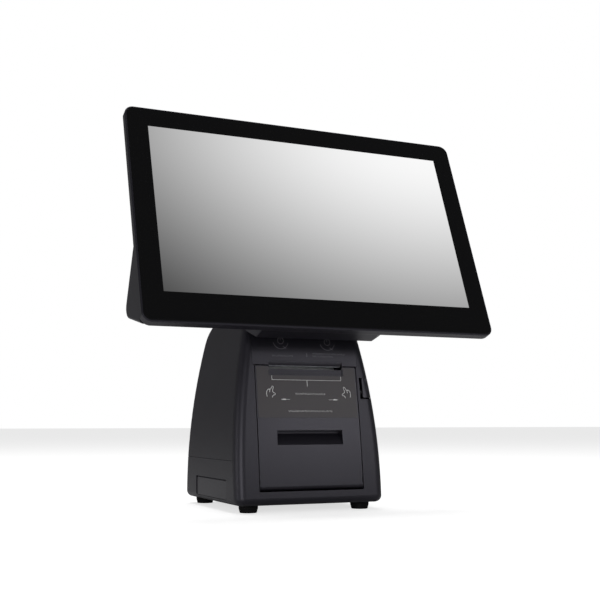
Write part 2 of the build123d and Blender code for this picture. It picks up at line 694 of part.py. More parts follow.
# ---------------------------------------------------------------- release button
NOSE_LOW = 135.0
NOSE_HIGH = 138.2
SPRING_Z = 124.0
SPRING_Y = front_y(SPRING_Z) + 5.5
SPRING_START = BUTTON_LEFT - 3.5   # rests on the bezel's lip
SPRING_END = BUTTON_LEFT + 4.0     # bottom of the pocket in the button
with BuildPart() as release_button:
    add(outer)
    add(front_slice(BEZEL_DEPTH), mode=Mode.INTERSECT)
    add(inner, mode=Mode.SUBTRACT)
    between((BUTTON_LEFT, -HUGE, BUTTON_LOW), (HUGE, HUGE, BUTTON_HIGH), Mode.INTERSECT)
    between((BUTTON_LEFT + 1, front_y(134, 1.0), 128.5), (71.5, -24.0, NOSE_HIGH))
    between((BUTTON_LEFT, front_y(124, 1.0), 119.0), (71.5, SPRING_Y + 4.5, 129.0))
    rod_x(SPRING_END, BUTTON_LEFT - 1, SPRING_Y, SPRING_Z, 3.1, Mode.SUBTRACT)
    with BuildSketch(Plane.XY.offset(NOSE_LOW)):
        with BuildLine():
            Polyline((48.5, -30.5), (70.0, -30.5), (70.0, -24.0), (54.4, -24.0), (48.5, -26.4), close=True)
        make_face()
    extrude(amount=NOSE_HIGH - NOSE_LOW)
save(release_button.part, "release_button")

with BuildPart() as button_spring:
    spring_from = (SPRING_START + 0.02, SPRING_Y, SPRING_Z)
    spring_to = (SPRING_END - 0.02, SPRING_Y, SPRING_Z)
    add(coil_spring(spring_from, spring_to, 2.7, 0.3, 5))
save(button_spring.part, "button_spring")

# ---------------------------------------------------------------- inner frame of the base
with BuildPart() as side_frames:
    between((55.0, -18.0, PLATE_FOOT), (57.5, 26.0, 176.0))
    between((46.5, -18.0, PLATE_FOOT), (55.0, 26.0, PLATE_FOOT + 2))
    between((46.5, -18.0, 174.0), (55.0, 26.0, 176.0))
    fillet(side_frames.edges().filter_by(Axis.Y).group_by(Axis.X)[-1], radius=1.5)
    with BuildSketch(Plane.YZ.offset(55)):
        for z in (50, 95, 140):
            with Locations((4, z)):
                SlotOverall(30, 14, rotation=90)
    extrude(amount=3, mode=Mode.SUBTRACT)
    mirror(about=Plane.YZ)
save(side_frames.part, "side_frames")

AXIS_Y, AXIS_Z = on_head(*HINGE)
EAR_R = 8.5
HINGE_PIN_R = 4.0
with BuildPart() as hinge_bracket:
    between((-58, -28, 176.0), (58, 24, 179.0))
    with BuildSketch(Plane.XY.offset(179)):
        with Locations((-30, 4), (0, 4), (30, 4)):
            Circle(6)
    extrude(amount=-3, mode=Mode.SUBTRACT)
    for x in (-ARM_X, ARM_X):
        with BuildSketch(Plane.YZ.offset(x - ARM_T / 2)):
            with BuildLine():
                Polyline(
                    (AXIS_Y - 4.44, AXIS_Z - 7.24),
                    (-26.0, 178.0),
                    (2.0, 178.0),
                    (-15.5, 191.0),
                    (AXIS_Y + 4.44, AXIS_Z + 7.24),
                    close=True,
                )
            make_face()
            with Locations((AXIS_Y, AXIS_Z)):
                Circle(EAR_R)
        extrude(amount=ARM_T)
    rod_x(-60, 60, AXIS_Y, AXIS_Z, HINGE_PIN_R + RUNNING, Mode.SUBTRACT)
save(hinge_bracket.part, "hinge_bracket")

# ---------------------------------------------------------------- electronics in the base
with BuildPart() as power_supply:
    between((-54, 50, 17.0), (54, 76, 62.0))
    chamfer(power_supply.edges(), length=1.0)
    with BuildSketch(Plane.XY.offset(62)):
        with Locations((0, 63)):
            with GridLocations(6, 1, 15, 1):
                SlotOverall(14, 2.4, rotation=90)
    extrude(amount=-1.2, mode=Mode.SUBTRACT)
save(power_supply.part, "power_supply")

with BuildPart() as controller_board:
    between((-50, 52, 64.5), (50, 53.6, 128))
    for x, z, w, h, t in ((-20, 100, 18, 18, 2.5), (16, 84, 12, 12, 2), (30, 112, 26, 8, 7), (-30, 74, 24, 8, 7)):
        between((x - w / 2, 53.6, z - h / 2), (x + w / 2, 53.6 + t, z + h / 2))
save(controller_board.part, "controller_board")

PORT_FACE = 100.6
BOARD_TOP = 23.8
LAN_X, DRAWER_X, USB_X, POWER_X = -38.0, -12.0, 12.0, 38.0
with BuildPart() as io_board:
    between((-52, 78, BOARD_TOP - 1.6), (52, 98.6, BOARD_TOP))
save(io_board.part, "io_board")

with BuildPart() as io_plate:
    between((-60, 99.0, 13.5), (60, 100.2, 49.0))
    for x, w, h in ((LAN_X, 16, 13.5), (DRAWER_X, 13.2, 13.2), (USB_X, 13.1, 15.6), (POWER_X, 14, 13)):
        between((x - w / 2 - 0.3, 98, BOARD_TOP - 0.3), (x + w / 2 + 0.3, 101, BOARD_TOP + h + 0.3), Mode.SUBTRACT)
save(io_plate.part, "io_plate")


def socket_shell(x, width, height, length, hollow_w, hollow_low, hollow_high, depth):
    """Box socket on the board with one square hollow open to the rear."""
    with BuildPart() as shell:
        between((x - width / 2, PORT_FACE - length, BOARD_TOP), (x + width / 2, PORT_FACE, BOARD_TOP + height))
        between(
            (x - hollow_w / 2, PORT_FACE - depth, BOARD_TOP + hollow_low),
            (x + hollow_w / 2, PORT_FACE + 1, BOARD_TOP + hollow_high),
            Mode.SUBTRACT,
        )
    return shell.part


with BuildPart() as lan_port:
    add(socket_shell(LAN_X, 16, 13.5, 17, 11.8, 2.6, 9.5, 11))
    between((LAN_X - 3, PORT_FACE - 11, BOARD_TOP + 9), (LAN_X + 3, PORT_FACE + 1, BOARD_TOP + 11.4), Mode.SUBTRACT)
save(lan_port.part, "lan_port")

with BuildPart() as drawer_port:
    add(socket_shell(DRAWER_X, 13.2, 13.2, 16, 9.8, 2.8, 9.4, 10.5))
    between(
        (DRAWER_X - 2.2, PORT_FACE - 10.5, BOARD_TOP + 9), (DRAWER_X + 2.2, PORT_FACE + 1, BOARD_TOP + 11.2), Mode.SUBTRACT
    )
save(drawer_port.part, "drawer_port")

with BuildPart() as usb_ports:
    add(socket_shell(USB_X, 13.1, 15.6, 17, 12.0, 1.2, 6.6, 9))
    between((USB_X - 6, PORT_FACE - 9, BOARD_TOP + 9.0), (USB_X + 6, PORT_FACE + 1, BOARD_TOP + 14.4), Mode.SUBTRACT)
    for z in (BOARD_TOP + 4.6, BOARD_TOP + 12.4):
        between((USB_X - 5.2, PORT_FACE - 9.5, z), (USB_X + 5.2, PORT_FACE - 0.6, z + 1.4))
save(usb_ports.part, "usb_ports")

with BuildPart() as power_inlet:
    between((POWER_X - 7, PORT_FACE - 15, BOARD_TOP), (POWER_X + 7, PORT_FACE, BOARD_TOP + 13))
    with BuildSketch(Plane.XZ.offset(-PORT_FACE)):
        with Locations((POWER_X, BOARD_TOP + 6.5)):
            Circle(4.9)
    extrude(amount=10, mode=Mode.SUBTRACT)
save(power_inlet.part, "power_inlet")

# ---------------------------------------------------------------- screen head
WINDOW_W = 361.0           # window behind the glass
WINDOW_H = 215.0
WINDOW_MID = -1.0
with BuildPart() as display_glass:
    with BuildSketch(face_plane(GLASS_T)):
        with Locations((0, FRAME_MID)):
            RectangleRounded(GLASS_W, GLASS_H, GLASS_R)
    extrude(amount=GLASS_T)
    chamfer(display_glass.faces().sort_by(TO_USER)[-1].edges(), length=0.4)
save(display_glass.part, "display_glass")

with BuildPart() as front_frame:
    with BuildSketch(face_plane(FRAME_BACK)):
        with Locations((0, FRAME_MID)):
            RectangleRounded(FRAME_W, FRAME_H, FRAME_R)
    extrude(amount=FRAME_BACK - 0.3)
    chamfer(front_frame.faces().sort_by(TO_USER)[-1].edges(), length=0.9)
    with BuildSketch(face_plane(GLASS_T + 0.2)):
        with Locations((0, FRAME_MID)):
            RectangleRounded(GLASS_W + 0.4, GLASS_H + 0.4, GLASS_R + 0.2)
    extrude(amount=5, mode=Mode.SUBTRACT)
    with BuildSketch(face_plane(FRAME_BACK + 1)):
        with Locations((0, WINDOW_MID)):
            RectangleRounded(WINDOW_W, WINDOW_H, 3)
    extrude(amount=12, mode=Mode.SUBTRACT)
    with BuildSketch(face_plane(FRAME_BACK + 1)):
        with Locations((0, FRAME_MID)):
            RectangleRounded(GLASS_W + 0.6, GLASS_H + 0.6, GLASS_R + 0.3)
    extrude(amount=FRAME_BACK + 1 - 5.5, mode=Mode.SUBTRACT)
save(front_frame.part, "front_frame")

with BuildPart() as lcd_module:
    with BuildSketch(face_plane(8.3)):
        with Locations((0, WINDOW_MID)):
            RectangleRounded(WINDOW_W - 3, WINDOW_H - 3, 2)
    extrude(amount=4.8)
save(lcd_module.part, "lcd_module")

with BuildPart() as back_panel:
    with BuildSketch(face_plane(PANEL_BACK)):
        with Locations((0, FRAME_MID)):
            RectangleRounded(FRAME_W - 0.6, FRAME_H - 0.6, FRAME_R)
    extrude(amount=PANEL_BACK - FRAME_BACK - 0.1)
    fillet(back_panel.faces().sort_by(TO_USER)[0].edges(), radius=2.5)
    with BuildSketch(face_plane(PANEL_BACK + 1)):
        with Locations((0, -88)):
            RectangleRounded(300, 55, 4)
    extrude(amount=5, mode=Mode.SUBTRACT)
save(back_panel.part, "back_panel")


def housing_prism(grow, half, front_d):
    """Wedge behind the screen, with its faces moved out by grow."""
    down = (HOUSING_HEEL[0] - HOUSING_TOP[0]) / (HOUSING_HEEL[1] - HOUSING_TOP[1])
    up = (HOUSING_HEEL[0] - HOUSING_TOE[0]) / (HOUSING_HEEL[1] - HOUSING_TOE[1])
    with BuildPart() as wedge:
        with BuildSketch(Plane.YZ) as profile:
            with BuildLine():
                Polyline(
                    on_head(HOUSING_TOP[0] + (front_d - HOUSING_TOP[1]) * down, front_d),
                    on_head(*HOUSING_HEEL),
                    on_head(HOUSING_TOE[0] + (front_d - HOUSING_TOE[1]) * up, front_d),
                    close=True,
                )
            make_face()
            fillet(profile.vertices().sort_by(Axis.X)[-1], radius=HEEL_R)
            if grow:
                offset(amount=grow)
        extrude(amount=half, both=True)
    return wedge.part


REAR_MID = on_head((HOUSING_TOP[0] + HOUSING_HEEL[0]) / 2, (HOUSING_TOP[1] + HOUSING_HEEL[1]) / 2)
REAR_ANGLE = radians(25.5)
REAR_FACE = Plane(
    origin=(0, *REAR_MID), x_dir=(1, 0, 0), z_dir=(0, cos(REAR_ANGLE), sin(REAR_ANGLE))
)
LOWER_MID = on_head((HOUSING_TOE[0] + HOUSING_HEEL[0]) / 2, (HOUSING_TOE[1] + HOUSING_HEEL[1]) / 2)
LOWER_ANGLE = radians(-76.9)
LOWER_FACE = Plane(
    origin=(0, *LOWER_MID), x_dir=(1, 0, 0), z_dir=(0, cos(LOWER_ANGLE), sin(LOWER_ANGLE))
)
VENT_X = [side * (60 + 8 * i) for side in (-1, 1) for i in range(12)]
SPEAKER_X = 140.0
POWER_BUTTON_X = 172.0
POWER_BUTTON_R = 6.0
EAR_SLOT_R = 16.0

with BuildPart() as rear_housing:
    add(housing_prism(0, HOUSING_HALF, HOUSING_TOP[1]))
    end_edges = rear_housing.edges().filter_by_position(Axis.X, HOUSING_HALF - 0.1, HOUSING_HALF + 0.1)
    end_edges += rear_housing.edges().filter_by_position(Axis.X, -HOUSING_HALF - 0.1, -HOUSING_HALF + 0.1)
    front_level = (FACE.z_dir.dot(Vector(0, *on_head(0, HOUSING_TOP[1]))))
    fillet([e for e in end_edges if FACE.z_dir.dot(e.center()) < front_level - 0.5], radius=3.0)
    add(housing_prism(-WALL, HOUSING_HALF - WALL, 8.0), mode=Mode.SUBTRACT)
    for x in (-ARM_X, ARM_X):
        rod_x(x - 3.2, x + 3.2, AXIS_Y, AXIS_Z, EAR_SLOT_R, Mode.SUBTRACT)
    with BuildSketch(REAR_FACE.offset(1)):
        with Locations(*[(x, 4) for x in VENT_X]):
            SlotOverall(22, 3, rotation=90)
    extrude(amount=-5, mode=Mode.SUBTRACT)
    with BuildSketch(LOWER_FACE.offset(1)):
        for x in (-SPEAKER_X, SPEAKER_X):
            with Locations((x, 0)):
                with GridLocations(5, 5, 8, 4):
                    Circle(1.1)
        with Locations((POWER_BUTTON_X, 0)):
            Circle(POWER_BUTTON_R + 0.3)
    extrude(amount=-5, mode=Mode.SUBTRACT)
save(rear_housing.part, "rear_housing")

with BuildPart() as power_button:
    with BuildSketch(LOWER_FACE.offset(-5)):
        with Locations((POWER_BUTTON_X, 0)):
            Circle(POWER_BUTTON_R + 1.6)
    extrude(amount=2.0)
    with BuildSketch(LOWER_FACE.offset(-4)):
        with Locations((POWER_BUTTON_X, 0)):
            Circle(POWER_BUTTON_R)
    extrude(amount=4.5)
    chamfer(power_button.faces().sort_by(Axis(LOWER_FACE.origin, LOWER_FACE.z_dir))[-1].edges(), length=0.4)
save(power_button.part, "power_button")

NECK_REAR = 40.0           # back of the neck cover, behind the glass
NECK_LOW = -122.7          # its underside, up the screen
with BuildPart() as neck_cover:
    with BuildSketch(face_plane(NECK_REAR)):
        Polygon(
            (-66, NECK_LOW), (66, NECK_LOW), (77, -115.8), (77, -104), (-77, -104), (-77, -115.8), align=None
        )
    extrude(amount=NECK_REAR - 20)
    fillet(neck_cover.edges().filter_by(TO_USER), radius=1.5)
    fillet(neck_cover.faces().sort_by(TO_USER)[0].edges(), radius=1.0)
    with BuildSketch(face_plane(NECK_REAR - 2)):
        Polygon(
            (-65.2, NECK_LOW + 2), (65.2, NECK_LOW + 2), (75, -114.6), (75, -100), (-75, -100), (-75, -114.6),
            align=None,
        )
    extrude(amount=NECK_REAR, mode=Mode.SUBTRACT)
    add(housing_prism(0.1, HOUSING_HALF, HOUSING_TOP[1]), mode=Mode.SUBTRACT)
save(neck_cover.part, "neck_cover")

# ---------------------------------------------------------------- tilt hinge and parts in the head
TILT_EAR_IN = 36.5
TILT_EAR_OUT = 39.5
with BuildPart() as tilt_bracket:
    with BuildSketch(face_plane(14.1)):
        with Locations((0, -89)):
            RectangleRounded(150, 58, 4)
            with GridLocations(124, 42, 2, 2):
                Circle(2.2, mode=Mode.SUBTRACT)
    extrude(amount=2.0)
    for side in (-1, 1):
        with BuildSketch(Plane.YZ.offset(side * (TILT_EAR_IN + TILT_EAR_OUT) / 2)):
            with BuildLine():
                Polyline(
                    on_head(-68, 12.1), on_head(-112, 12.1), on_head(-100.2, 46.0), on_head(-83.3, 46.0), close=True
                )
            make_face()
            with Locations((AXIS_Y, AXIS_Z)):
                Circle(EAR_R)
        extrude(amount=(TILT_EAR_OUT - TILT_EAR_IN) / 2, both=True)
    rod_x(-60, 60, AXIS_Y, AXIS_Z, HINGE_PIN_R, Mode.SUBTRACT)
save(tilt_bracket.part, "tilt_bracket")

with BuildPart() as hinge_pins:
    for side in (-1, 1):
        rod_x(side * 35.0, side * 53.0, AXIS_Y, AXIS_Z, HINGE_PIN_R)
        rod_x(side * 34.0, side * (TILT_EAR_IN - 0.1), AXIS_Y, AXIS_Z, 6.0)
save(hinge_pins.part, "hinge_pins")

with BuildPart() as friction_washers:
    for side in (-1, 1):
        rod_x(side * (TILT_EAR_OUT + 0.1), side * (ARM_X - ARM_T / 2 - 0.1), AXIS_Y, AXIS_Z, 7.5)
    rod_x(-60, 60, AXIS_Y, AXIS_Z, HINGE_PIN_R, Mode.SUBTRACT)
save(friction_washers.part, "friction_washers")

with BuildPart() as hinge_nuts:
    for side in (-1, 1):
        with BuildSketch(Plane.YZ.offset(side * 49.6)):
            with Locations((AXIS_Y, AXIS_Z)):
                RegularPolygon(7.0, 6)
                Circle(HINGE_PIN_R, mode=Mode.SUBTRACT)
        extrude(amount=2.2, both=True)
save(hinge_nuts.part, "hinge_nuts")

with BuildPart() as main_board:
    with BuildSketch(face_plane(18.6)):
        with Locations((112, -68)):
            RectangleRounded(100, 32, 1.5)
    extrude(amount=1.6)
    with BuildSketch(face_plane(20.0)):
        with Locations((75, -68)):
            Rectangle(12, 22)
        with Locations((148, -70)):
            Rectangle(20, 14)
    extrude(amount=2.5)
save(main_board.part, "main_board")

with BuildPart() as heat_sink:
    with BuildSketch(face_plane(31.0)):
        with Locations((108, -74)):
            Rectangle(44, 18)
            with GridLocations(4, 1, 10, 1):
                Rectangle(2.6, 19, mode=Mode.SUBTRACT)
    extrude(amount=9.4)
    with BuildSketch(face_plane(21.6)):
        with Locations((108, -74)):
            Rectangle(44, 18)
    extrude(amount=3.0)
save(heat_sink.part, "heat_sink")

with BuildPart() as speakers:
    for x in (-SPEAKER_X, SPEAKER_X):
        with BuildSketch(face_plane(32.0)):
            with Locations((x, -97)):
                RectangleRounded(52, 19, 3)
        extrude(amount=14)
save(speakers.part, "speakers")
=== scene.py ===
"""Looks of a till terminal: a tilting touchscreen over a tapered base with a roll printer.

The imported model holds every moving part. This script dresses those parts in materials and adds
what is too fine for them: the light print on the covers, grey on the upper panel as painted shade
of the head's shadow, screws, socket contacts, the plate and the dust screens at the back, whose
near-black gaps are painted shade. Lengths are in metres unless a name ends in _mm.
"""

import logging
import math
from contextlib import contextmanager
from dataclasses import dataclass
from enum import Enum
from typing import Any, Callable, Iterator, Protocol

import bmesh
import bpy
from mathutils import Matrix, Vector

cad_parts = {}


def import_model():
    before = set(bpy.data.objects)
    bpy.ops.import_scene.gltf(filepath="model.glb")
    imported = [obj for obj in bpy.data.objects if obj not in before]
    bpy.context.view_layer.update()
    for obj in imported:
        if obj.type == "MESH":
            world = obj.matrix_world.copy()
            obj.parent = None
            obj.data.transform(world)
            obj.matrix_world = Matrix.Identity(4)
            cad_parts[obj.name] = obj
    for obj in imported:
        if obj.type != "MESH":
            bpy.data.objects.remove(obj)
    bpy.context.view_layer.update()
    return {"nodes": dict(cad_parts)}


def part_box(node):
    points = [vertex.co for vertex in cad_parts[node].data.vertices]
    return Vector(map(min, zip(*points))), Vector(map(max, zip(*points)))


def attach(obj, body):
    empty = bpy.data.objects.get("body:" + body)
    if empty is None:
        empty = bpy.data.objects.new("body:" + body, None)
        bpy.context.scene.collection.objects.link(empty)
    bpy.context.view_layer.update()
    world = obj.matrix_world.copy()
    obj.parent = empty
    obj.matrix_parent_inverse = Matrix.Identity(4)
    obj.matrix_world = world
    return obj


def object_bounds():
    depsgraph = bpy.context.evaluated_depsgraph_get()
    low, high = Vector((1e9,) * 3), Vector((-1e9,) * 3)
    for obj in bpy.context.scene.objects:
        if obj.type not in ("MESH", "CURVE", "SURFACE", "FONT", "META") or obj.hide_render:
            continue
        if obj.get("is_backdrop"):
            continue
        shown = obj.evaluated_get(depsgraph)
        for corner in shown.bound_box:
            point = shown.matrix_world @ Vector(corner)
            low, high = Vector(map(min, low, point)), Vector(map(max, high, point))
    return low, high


LOG = logging.getLogger("terminal")
MM = 0.001
CLEAR = 0.2  # a line that looks for a face starts this far out
Outline = list[tuple[float, float]]
Stroke = list[tuple[Vector, float]]  # points, and the radius at each


# ---------------------------------------------------------------- directions on the object
TILT = math.radians(20.75)  # the screen leans back this far at rest
SCREEN_OUT = Vector((0, -math.cos(TILT), math.sin(TILT)))
SCREEN_UP = Vector((0, math.sin(TILT), math.cos(TILT)))
HOUSING_REAR = math.radians(25.5)  # outward directions of the two wedge faces, from +Y
HOUSING_UNDER = math.radians(-76.9)


class Body(Enum):
    """Rigid bodies that the new pieces ride on."""

    BASE = "base"
    LID = "lid"
    HEAD = "head"
    POWER_KEY = "power_key"


def facing(origin: Vector, out: Vector) -> Matrix:
    """Matrix that lays a flat piece on a face across the object.

    Args:
        origin: Point on the face.
        out: The face's outward direction, square to X.

    Returns:
        A matrix whose local X is across, local Y up the face and local Z outwards.
    """
    across = Vector((1, 0, 0)) if out.y < 0 or abs(out.y) < 1e-6 else Vector((-1, 0, 0))
    up = out.cross(across)
    turn = Matrix((across, up, out)).transposed().to_4x4()
    return Matrix.Translation(origin) @ turn


def middle(node: str) -> Vector:
    """Middle of a node's box at rest."""
    low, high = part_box(node)
    return (Vector(low) + Vector(high)) / 2


def touch(node: str, start: Vector, way: Vector) -> Vector:
    """First point where a line meets a node's surface.

    Args:
        node: Name of the node.
        start: Where the line starts, outside the node.
        way: Its direction.

    Returns:
        The point on the surface.

    Raises:
        ValueError: The line misses the node.
    """
    found, point, _, _ = bpy.data.objects[node].ray_cast(start, way)
    if not found:
        raise ValueError(f"no surface of {node} in line with {tuple(start)}")
    return point


def on_screen_back(across: float, up_mm: float) -> Matrix:
    """Place for a flat piece on the back of the screen.

    Args:
        across: Distance from the panel's middle along X, in metres.
        up_mm: Distance from its middle up the panel.

    Returns:
        The matrix that facing gives there.
    """
    start = middle("back_panel") + SCREEN_UP * up_mm * MM - SCREEN_OUT * CLEAR
    start += Vector((across, 0, 0))
    return facing(touch("back_panel", start, SCREEN_OUT), -SCREEN_OUT)


def part_circle(
    x: float, y: float, radius: float, start: float, end: float, steps: int = 24
) -> Outline:
    """Points along a circle about (x, y), from start to end degrees."""
    turn = [math.radians(start + (end - start) * i / steps) for i in range(steps + 1)]
    return [(x + radius * math.cos(a), y + radius * math.sin(a)) for a in turn]


# ---------------------------------------------------------------- modelling helpers
def activate(*pieces: bpy.types.Object) -> None:
    """Select these pieces alone, the first one active."""
    bpy.ops.object.select_all(action="DESELECT")
    for piece in pieces:
        piece.select_set(True)
    bpy.context.view_layer.objects.active = pieces[0]


@contextmanager
def editing(
    piece: bpy.types.Object, pick: Callable[[Any], bool], kind: str = "FACE"
) -> Iterator[None]:
    """Edit mode on one piece with some of its faces or edges selected.

    Args:
        piece: The mesh to edit.
        pick: Says of each face or edge whether it is selected.
        kind: "FACE" or "EDGE".
    """
    activate(piece)
    bpy.ops.object.mode_set(mode="EDIT")
    bpy.ops.mesh.select_mode(type=kind)
    bpy.ops.mesh.select_all(action="DESELECT")
    shape = bmesh.from_edit_mesh(piece.data)
    for element in shape.faces if kind == "FACE" else shape.edges:
        element.select_set(pick(element))
    bmesh.update_edit_mesh(piece.data)
    yield
    bpy.ops.object.mode_set(mode="OBJECT")


def facing_up(face: bmesh.types.BMFace) -> bool:
    """Whether a face looks along +Z."""
    return face.normal.z > 0.9


def settle(piece: bpy.types.Object, matrix: Matrix | None = None) -> bpy.types.Object:
    """Move a piece to its place and leave the place in its mesh.

    Args:
        piece: The finished piece.
        matrix: Where it goes, or None to keep it where it is.

    Returns:
        The same piece, its object at the origin.
    """
    if matrix is not None:
        piece.matrix_world = matrix @ piece.matrix_world
    activate(piece)
    bpy.ops.object.transform_apply(location=True, rotation=True, scale=True)
    return piece


def applied(piece: bpy.types.Object, kind: str, **settings: Any) -> None:
    """Add a modifier with these settings and apply it."""
    activate(piece)
    modifier = piece.modifiers.new(kind.lower(), kind)
    for key, value in settings.items():
        setattr(modifier, key, value)
    bpy.ops.object.modifier_apply(modifier=modifier.name)


def smoothed(piece: bpy.types.Object, degrees: float = 35) -> bpy.types.Object:
    """Shade a piece smooth, with its sharper edges kept."""
    activate(piece)
    bpy.ops.object.shade_smooth_by_angle(angle=math.radians(degrees))
    return piece


def copies(pattern: bpy.types.Object, places: list[Matrix], name: str) -> bpy.types.Object:
    """Repeat a modelled piece and join the copies.

    Args:
        pattern: The piece as modelled at the origin; it is used up.
        places: A matrix for each copy.
        name: Name of the joined piece.

    Returns:
        The joined piece.
    """
    made = []
    for place in places:
        activate(pattern)
        bpy.ops.object.duplicate(linked=False)
        made.append(settle(bpy.context.active_object, place))
    bpy.data.objects.remove(pattern)
    activate(*made)
    bpy.ops.object.join()
    made[0].name = made[0].data.name = name
    return made[0]


def wires(name: str, runs: list[Stroke], sides: int = 1) -> bpy.types.Object:
    """Round strokes or wires along runs of points.

    Args:
        name: Name of the piece.
        runs: Each run is a list of a point and the radius there.
        sides: Curve steps round each quarter of a wire.

    Returns:
        One mesh with a closed tube for each run.
    """
    curve = bpy.data.curves.new(name, "CURVE")
    curve.dimensions = "3D"
    curve.bevel_depth = 1.0
    curve.bevel_resolution = sides
    curve.use_fill_caps = True
    for run in runs:
        spline = curve.splines.new("POLY")
        spline.points.add(len(run) - 1)
        for point, (place, radius) in zip(spline.points, run):
            point.co = (*place, 1)
            point.radius = radius
    piece = bpy.data.objects.new(name, curve)
    bpy.context.collection.objects.link(piece)
    activate(piece)
    bpy.ops.object.convert(target="MESH")
    return bpy.context.active_object


def hand_over(piece: bpy.types.Object, body: Body, material: bpy.types.Material) -> None:
    """Give a finished piece its body, slot and material, and report it."""
    piece.data.materials.clear()
    piece.data.materials.append(material)
    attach(piece, body.value)
    LOG.info("%s rides %s, %d faces", piece.name, body.value, len(piece.data.polygons))


# ---------------------------------------------------------------- material helpers
def linear(colour: str) -> tuple[float, float, float, float]:
    """Linear RGBA of an sRGB hex colour such as "#1d1c21"."""
    parts = [int(colour[i : i + 2], 16) / 255 for i in (1, 3, 5)]
    turned = [p / 12.92 if p <= 0.04045 else ((p + 0.055) / 1.055) ** 2.4 for p in parts]
    return (*turned, 1.0)


def add(
    tree: bpy.types.NodeTree, kind: str, inputs: dict[Any, Any] | None = None, **settings: Any
) -> bpy.types.Node:
    """Add one node to a tree.

    Args:
        tree: The material's node tree.
        kind: Node type, without its ShaderNode prefix.
        inputs: Input name or number to a value, or to a socket that is linked to it.
        **settings: Properties of the node itself.

    Returns:
        The new node.
    """
    node = tree.nodes.new("ShaderNode" + kind)
    for key, value in settings.items():
        setattr(node, key, value)
    for key, value in (inputs or {}).items():
        if isinstance(value, bpy.types.NodeSocket):
            tree.links.new(value, node.inputs[key])
        else:
            node.inputs[key].default_value = value
    return node


def begin(name: str) -> tuple[bpy.types.Material, bpy.types.NodeTree, bpy.types.NodeSocket]:
    """Start an empty material.

    Returns:
        The material, its node tree and the object's own coordinates.
    """
    material = bpy.data.materials.new(name)
    material.use_nodes = True
    material.node_tree.nodes.clear()
    place = add(material.node_tree, "TexCoord").outputs["Object"]
    return material, material.node_tree, place


def surface(tree: bpy.types.NodeTree, inputs: dict[Any, Any]) -> None:
    """End a material with a Principled surface that has these inputs."""
    shader = add(tree, "BsdfPrincipled", inputs)
    add(tree, "OutputMaterial", {"Surface": shader.outputs["BSDF"]})


def per_metre(size_mm: float) -> float:
    """Texture scale at which one feature is size_mm wide."""
    return 1000 / size_mm


class Finish(Protocol):
    """Something that can make a material."""

    def material(self) -> bpy.types.Material:
        """Make the material."""


@dataclass(frozen=True)
class MouldedPlastic:
    """ABS from a spark-eroded mould: even, dull, with a fine pebble that breaks up highlights.

    The real pebble is about 0.1 mm; it is drawn at grain_mm so that it shows.
    """

    name: str
    colour: str
    light_colour: str
    roughness: float
    grain_mm: float = 0.7
    relief_mm: float = 0.025
    specular: float = 0.3
    cloud_mm: float = 45.0
    sheen: str = "#efecfa"  # the mould gloss looks faintly lilac
    rough_spread: float = 0.07

    def material(self) -> bpy.types.Material:
        """Make the material."""
        mat, tree, place = begin(self.name)
        cloud = add(
            tree,
            "TexNoise",
            {"Vector": place, "Scale": per_metre(self.cloud_mm), "Detail": 4.0},
        )
        pebble = add(
            tree,
            "TexNoise",
            {"Vector": place, "Scale": per_metre(self.grain_mm), "Detail": 3.0, "Roughness": 0.6},
        )
        colour = add(
            tree,
            "Mix",
            {0: cloud.outputs["Fac"], 6: linear(self.colour), 7: linear(self.light_colour)},
            data_type="RGBA",
        )
        rough = add(
            tree,
            "MapRange",
            {
                0: pebble.outputs["Fac"],
                3: self.roughness - self.rough_spread,
                4: self.roughness + self.rough_spread,
            },
        )
        bump = add(
            tree,
            "Bump",
            {"Height": pebble.outputs["Fac"], "Distance": self.relief_mm * MM, "Strength": 0.6},
        )
        surface(
            tree,
            {
                "Base Color": colour.outputs[2],
                "Roughness": rough.outputs[0],
                "Specular IOR Level": self.specular,
                "Specular Tint": linear(self.sheen),
                "IOR": 1.5,
                "Normal": bump.outputs["Normal"],
            },
        )
        return mat


@dataclass(frozen=True)
class SheetMetal:
    """Rolled or ground metal: fine lines one way and faint spangle in its colour."""

    name: str
    colour: str
    dark_colour: str
    roughness: float
    line_mm: float = 0.25
    spangle_mm: float = 9.0
    stretch: tuple[float, float, float] = (0.04, 1.0, 1.0)  # lines run along the small one
    relief_mm: float = 0.004

    def material(self) -> bpy.types.Material:
        """Make the material."""
        mat, tree, place = begin(self.name)
        drawn = add(tree, "Mapping", {"Vector": place, "Scale": self.stretch})
        lines = add(
            tree,
            "TexNoise",
            {"Vector": drawn.outputs[0], "Scale": per_metre(self.line_mm), "Detail": 2.0},
        )
        spangle = add(tree, "TexVoronoi", {"Vector": place, "Scale": per_metre(self.spangle_mm)})
        shade = add(tree, "MapRange", {0: spangle.outputs["Distance"], 2: 0.8, 3: 0.15, 4: 0.85})
        colour = add(
            tree,
            "Mix",
            {0: shade.outputs[0], 6: linear(self.colour), 7: linear(self.dark_colour)},
            data_type="RGBA",
        )
        rough = add(
            tree,
            "MapRange",
            {0: lines.outputs["Fac"], 3: self.roughness - 0.08, 4: self.roughness + 0.1},
        )
        bump = add(
            tree,
            "Bump",
            {"Height": lines.outputs["Fac"], "Distance": self.relief_mm * MM, "Strength": 0.5},
        )
        surface(
            tree,
            {
                "Base Color": colour.outputs[2],
                "Metallic": 1.0,
                "Roughness": rough.outputs[0],
                "Normal": bump.outputs["Normal"],
            },
        )
        return mat


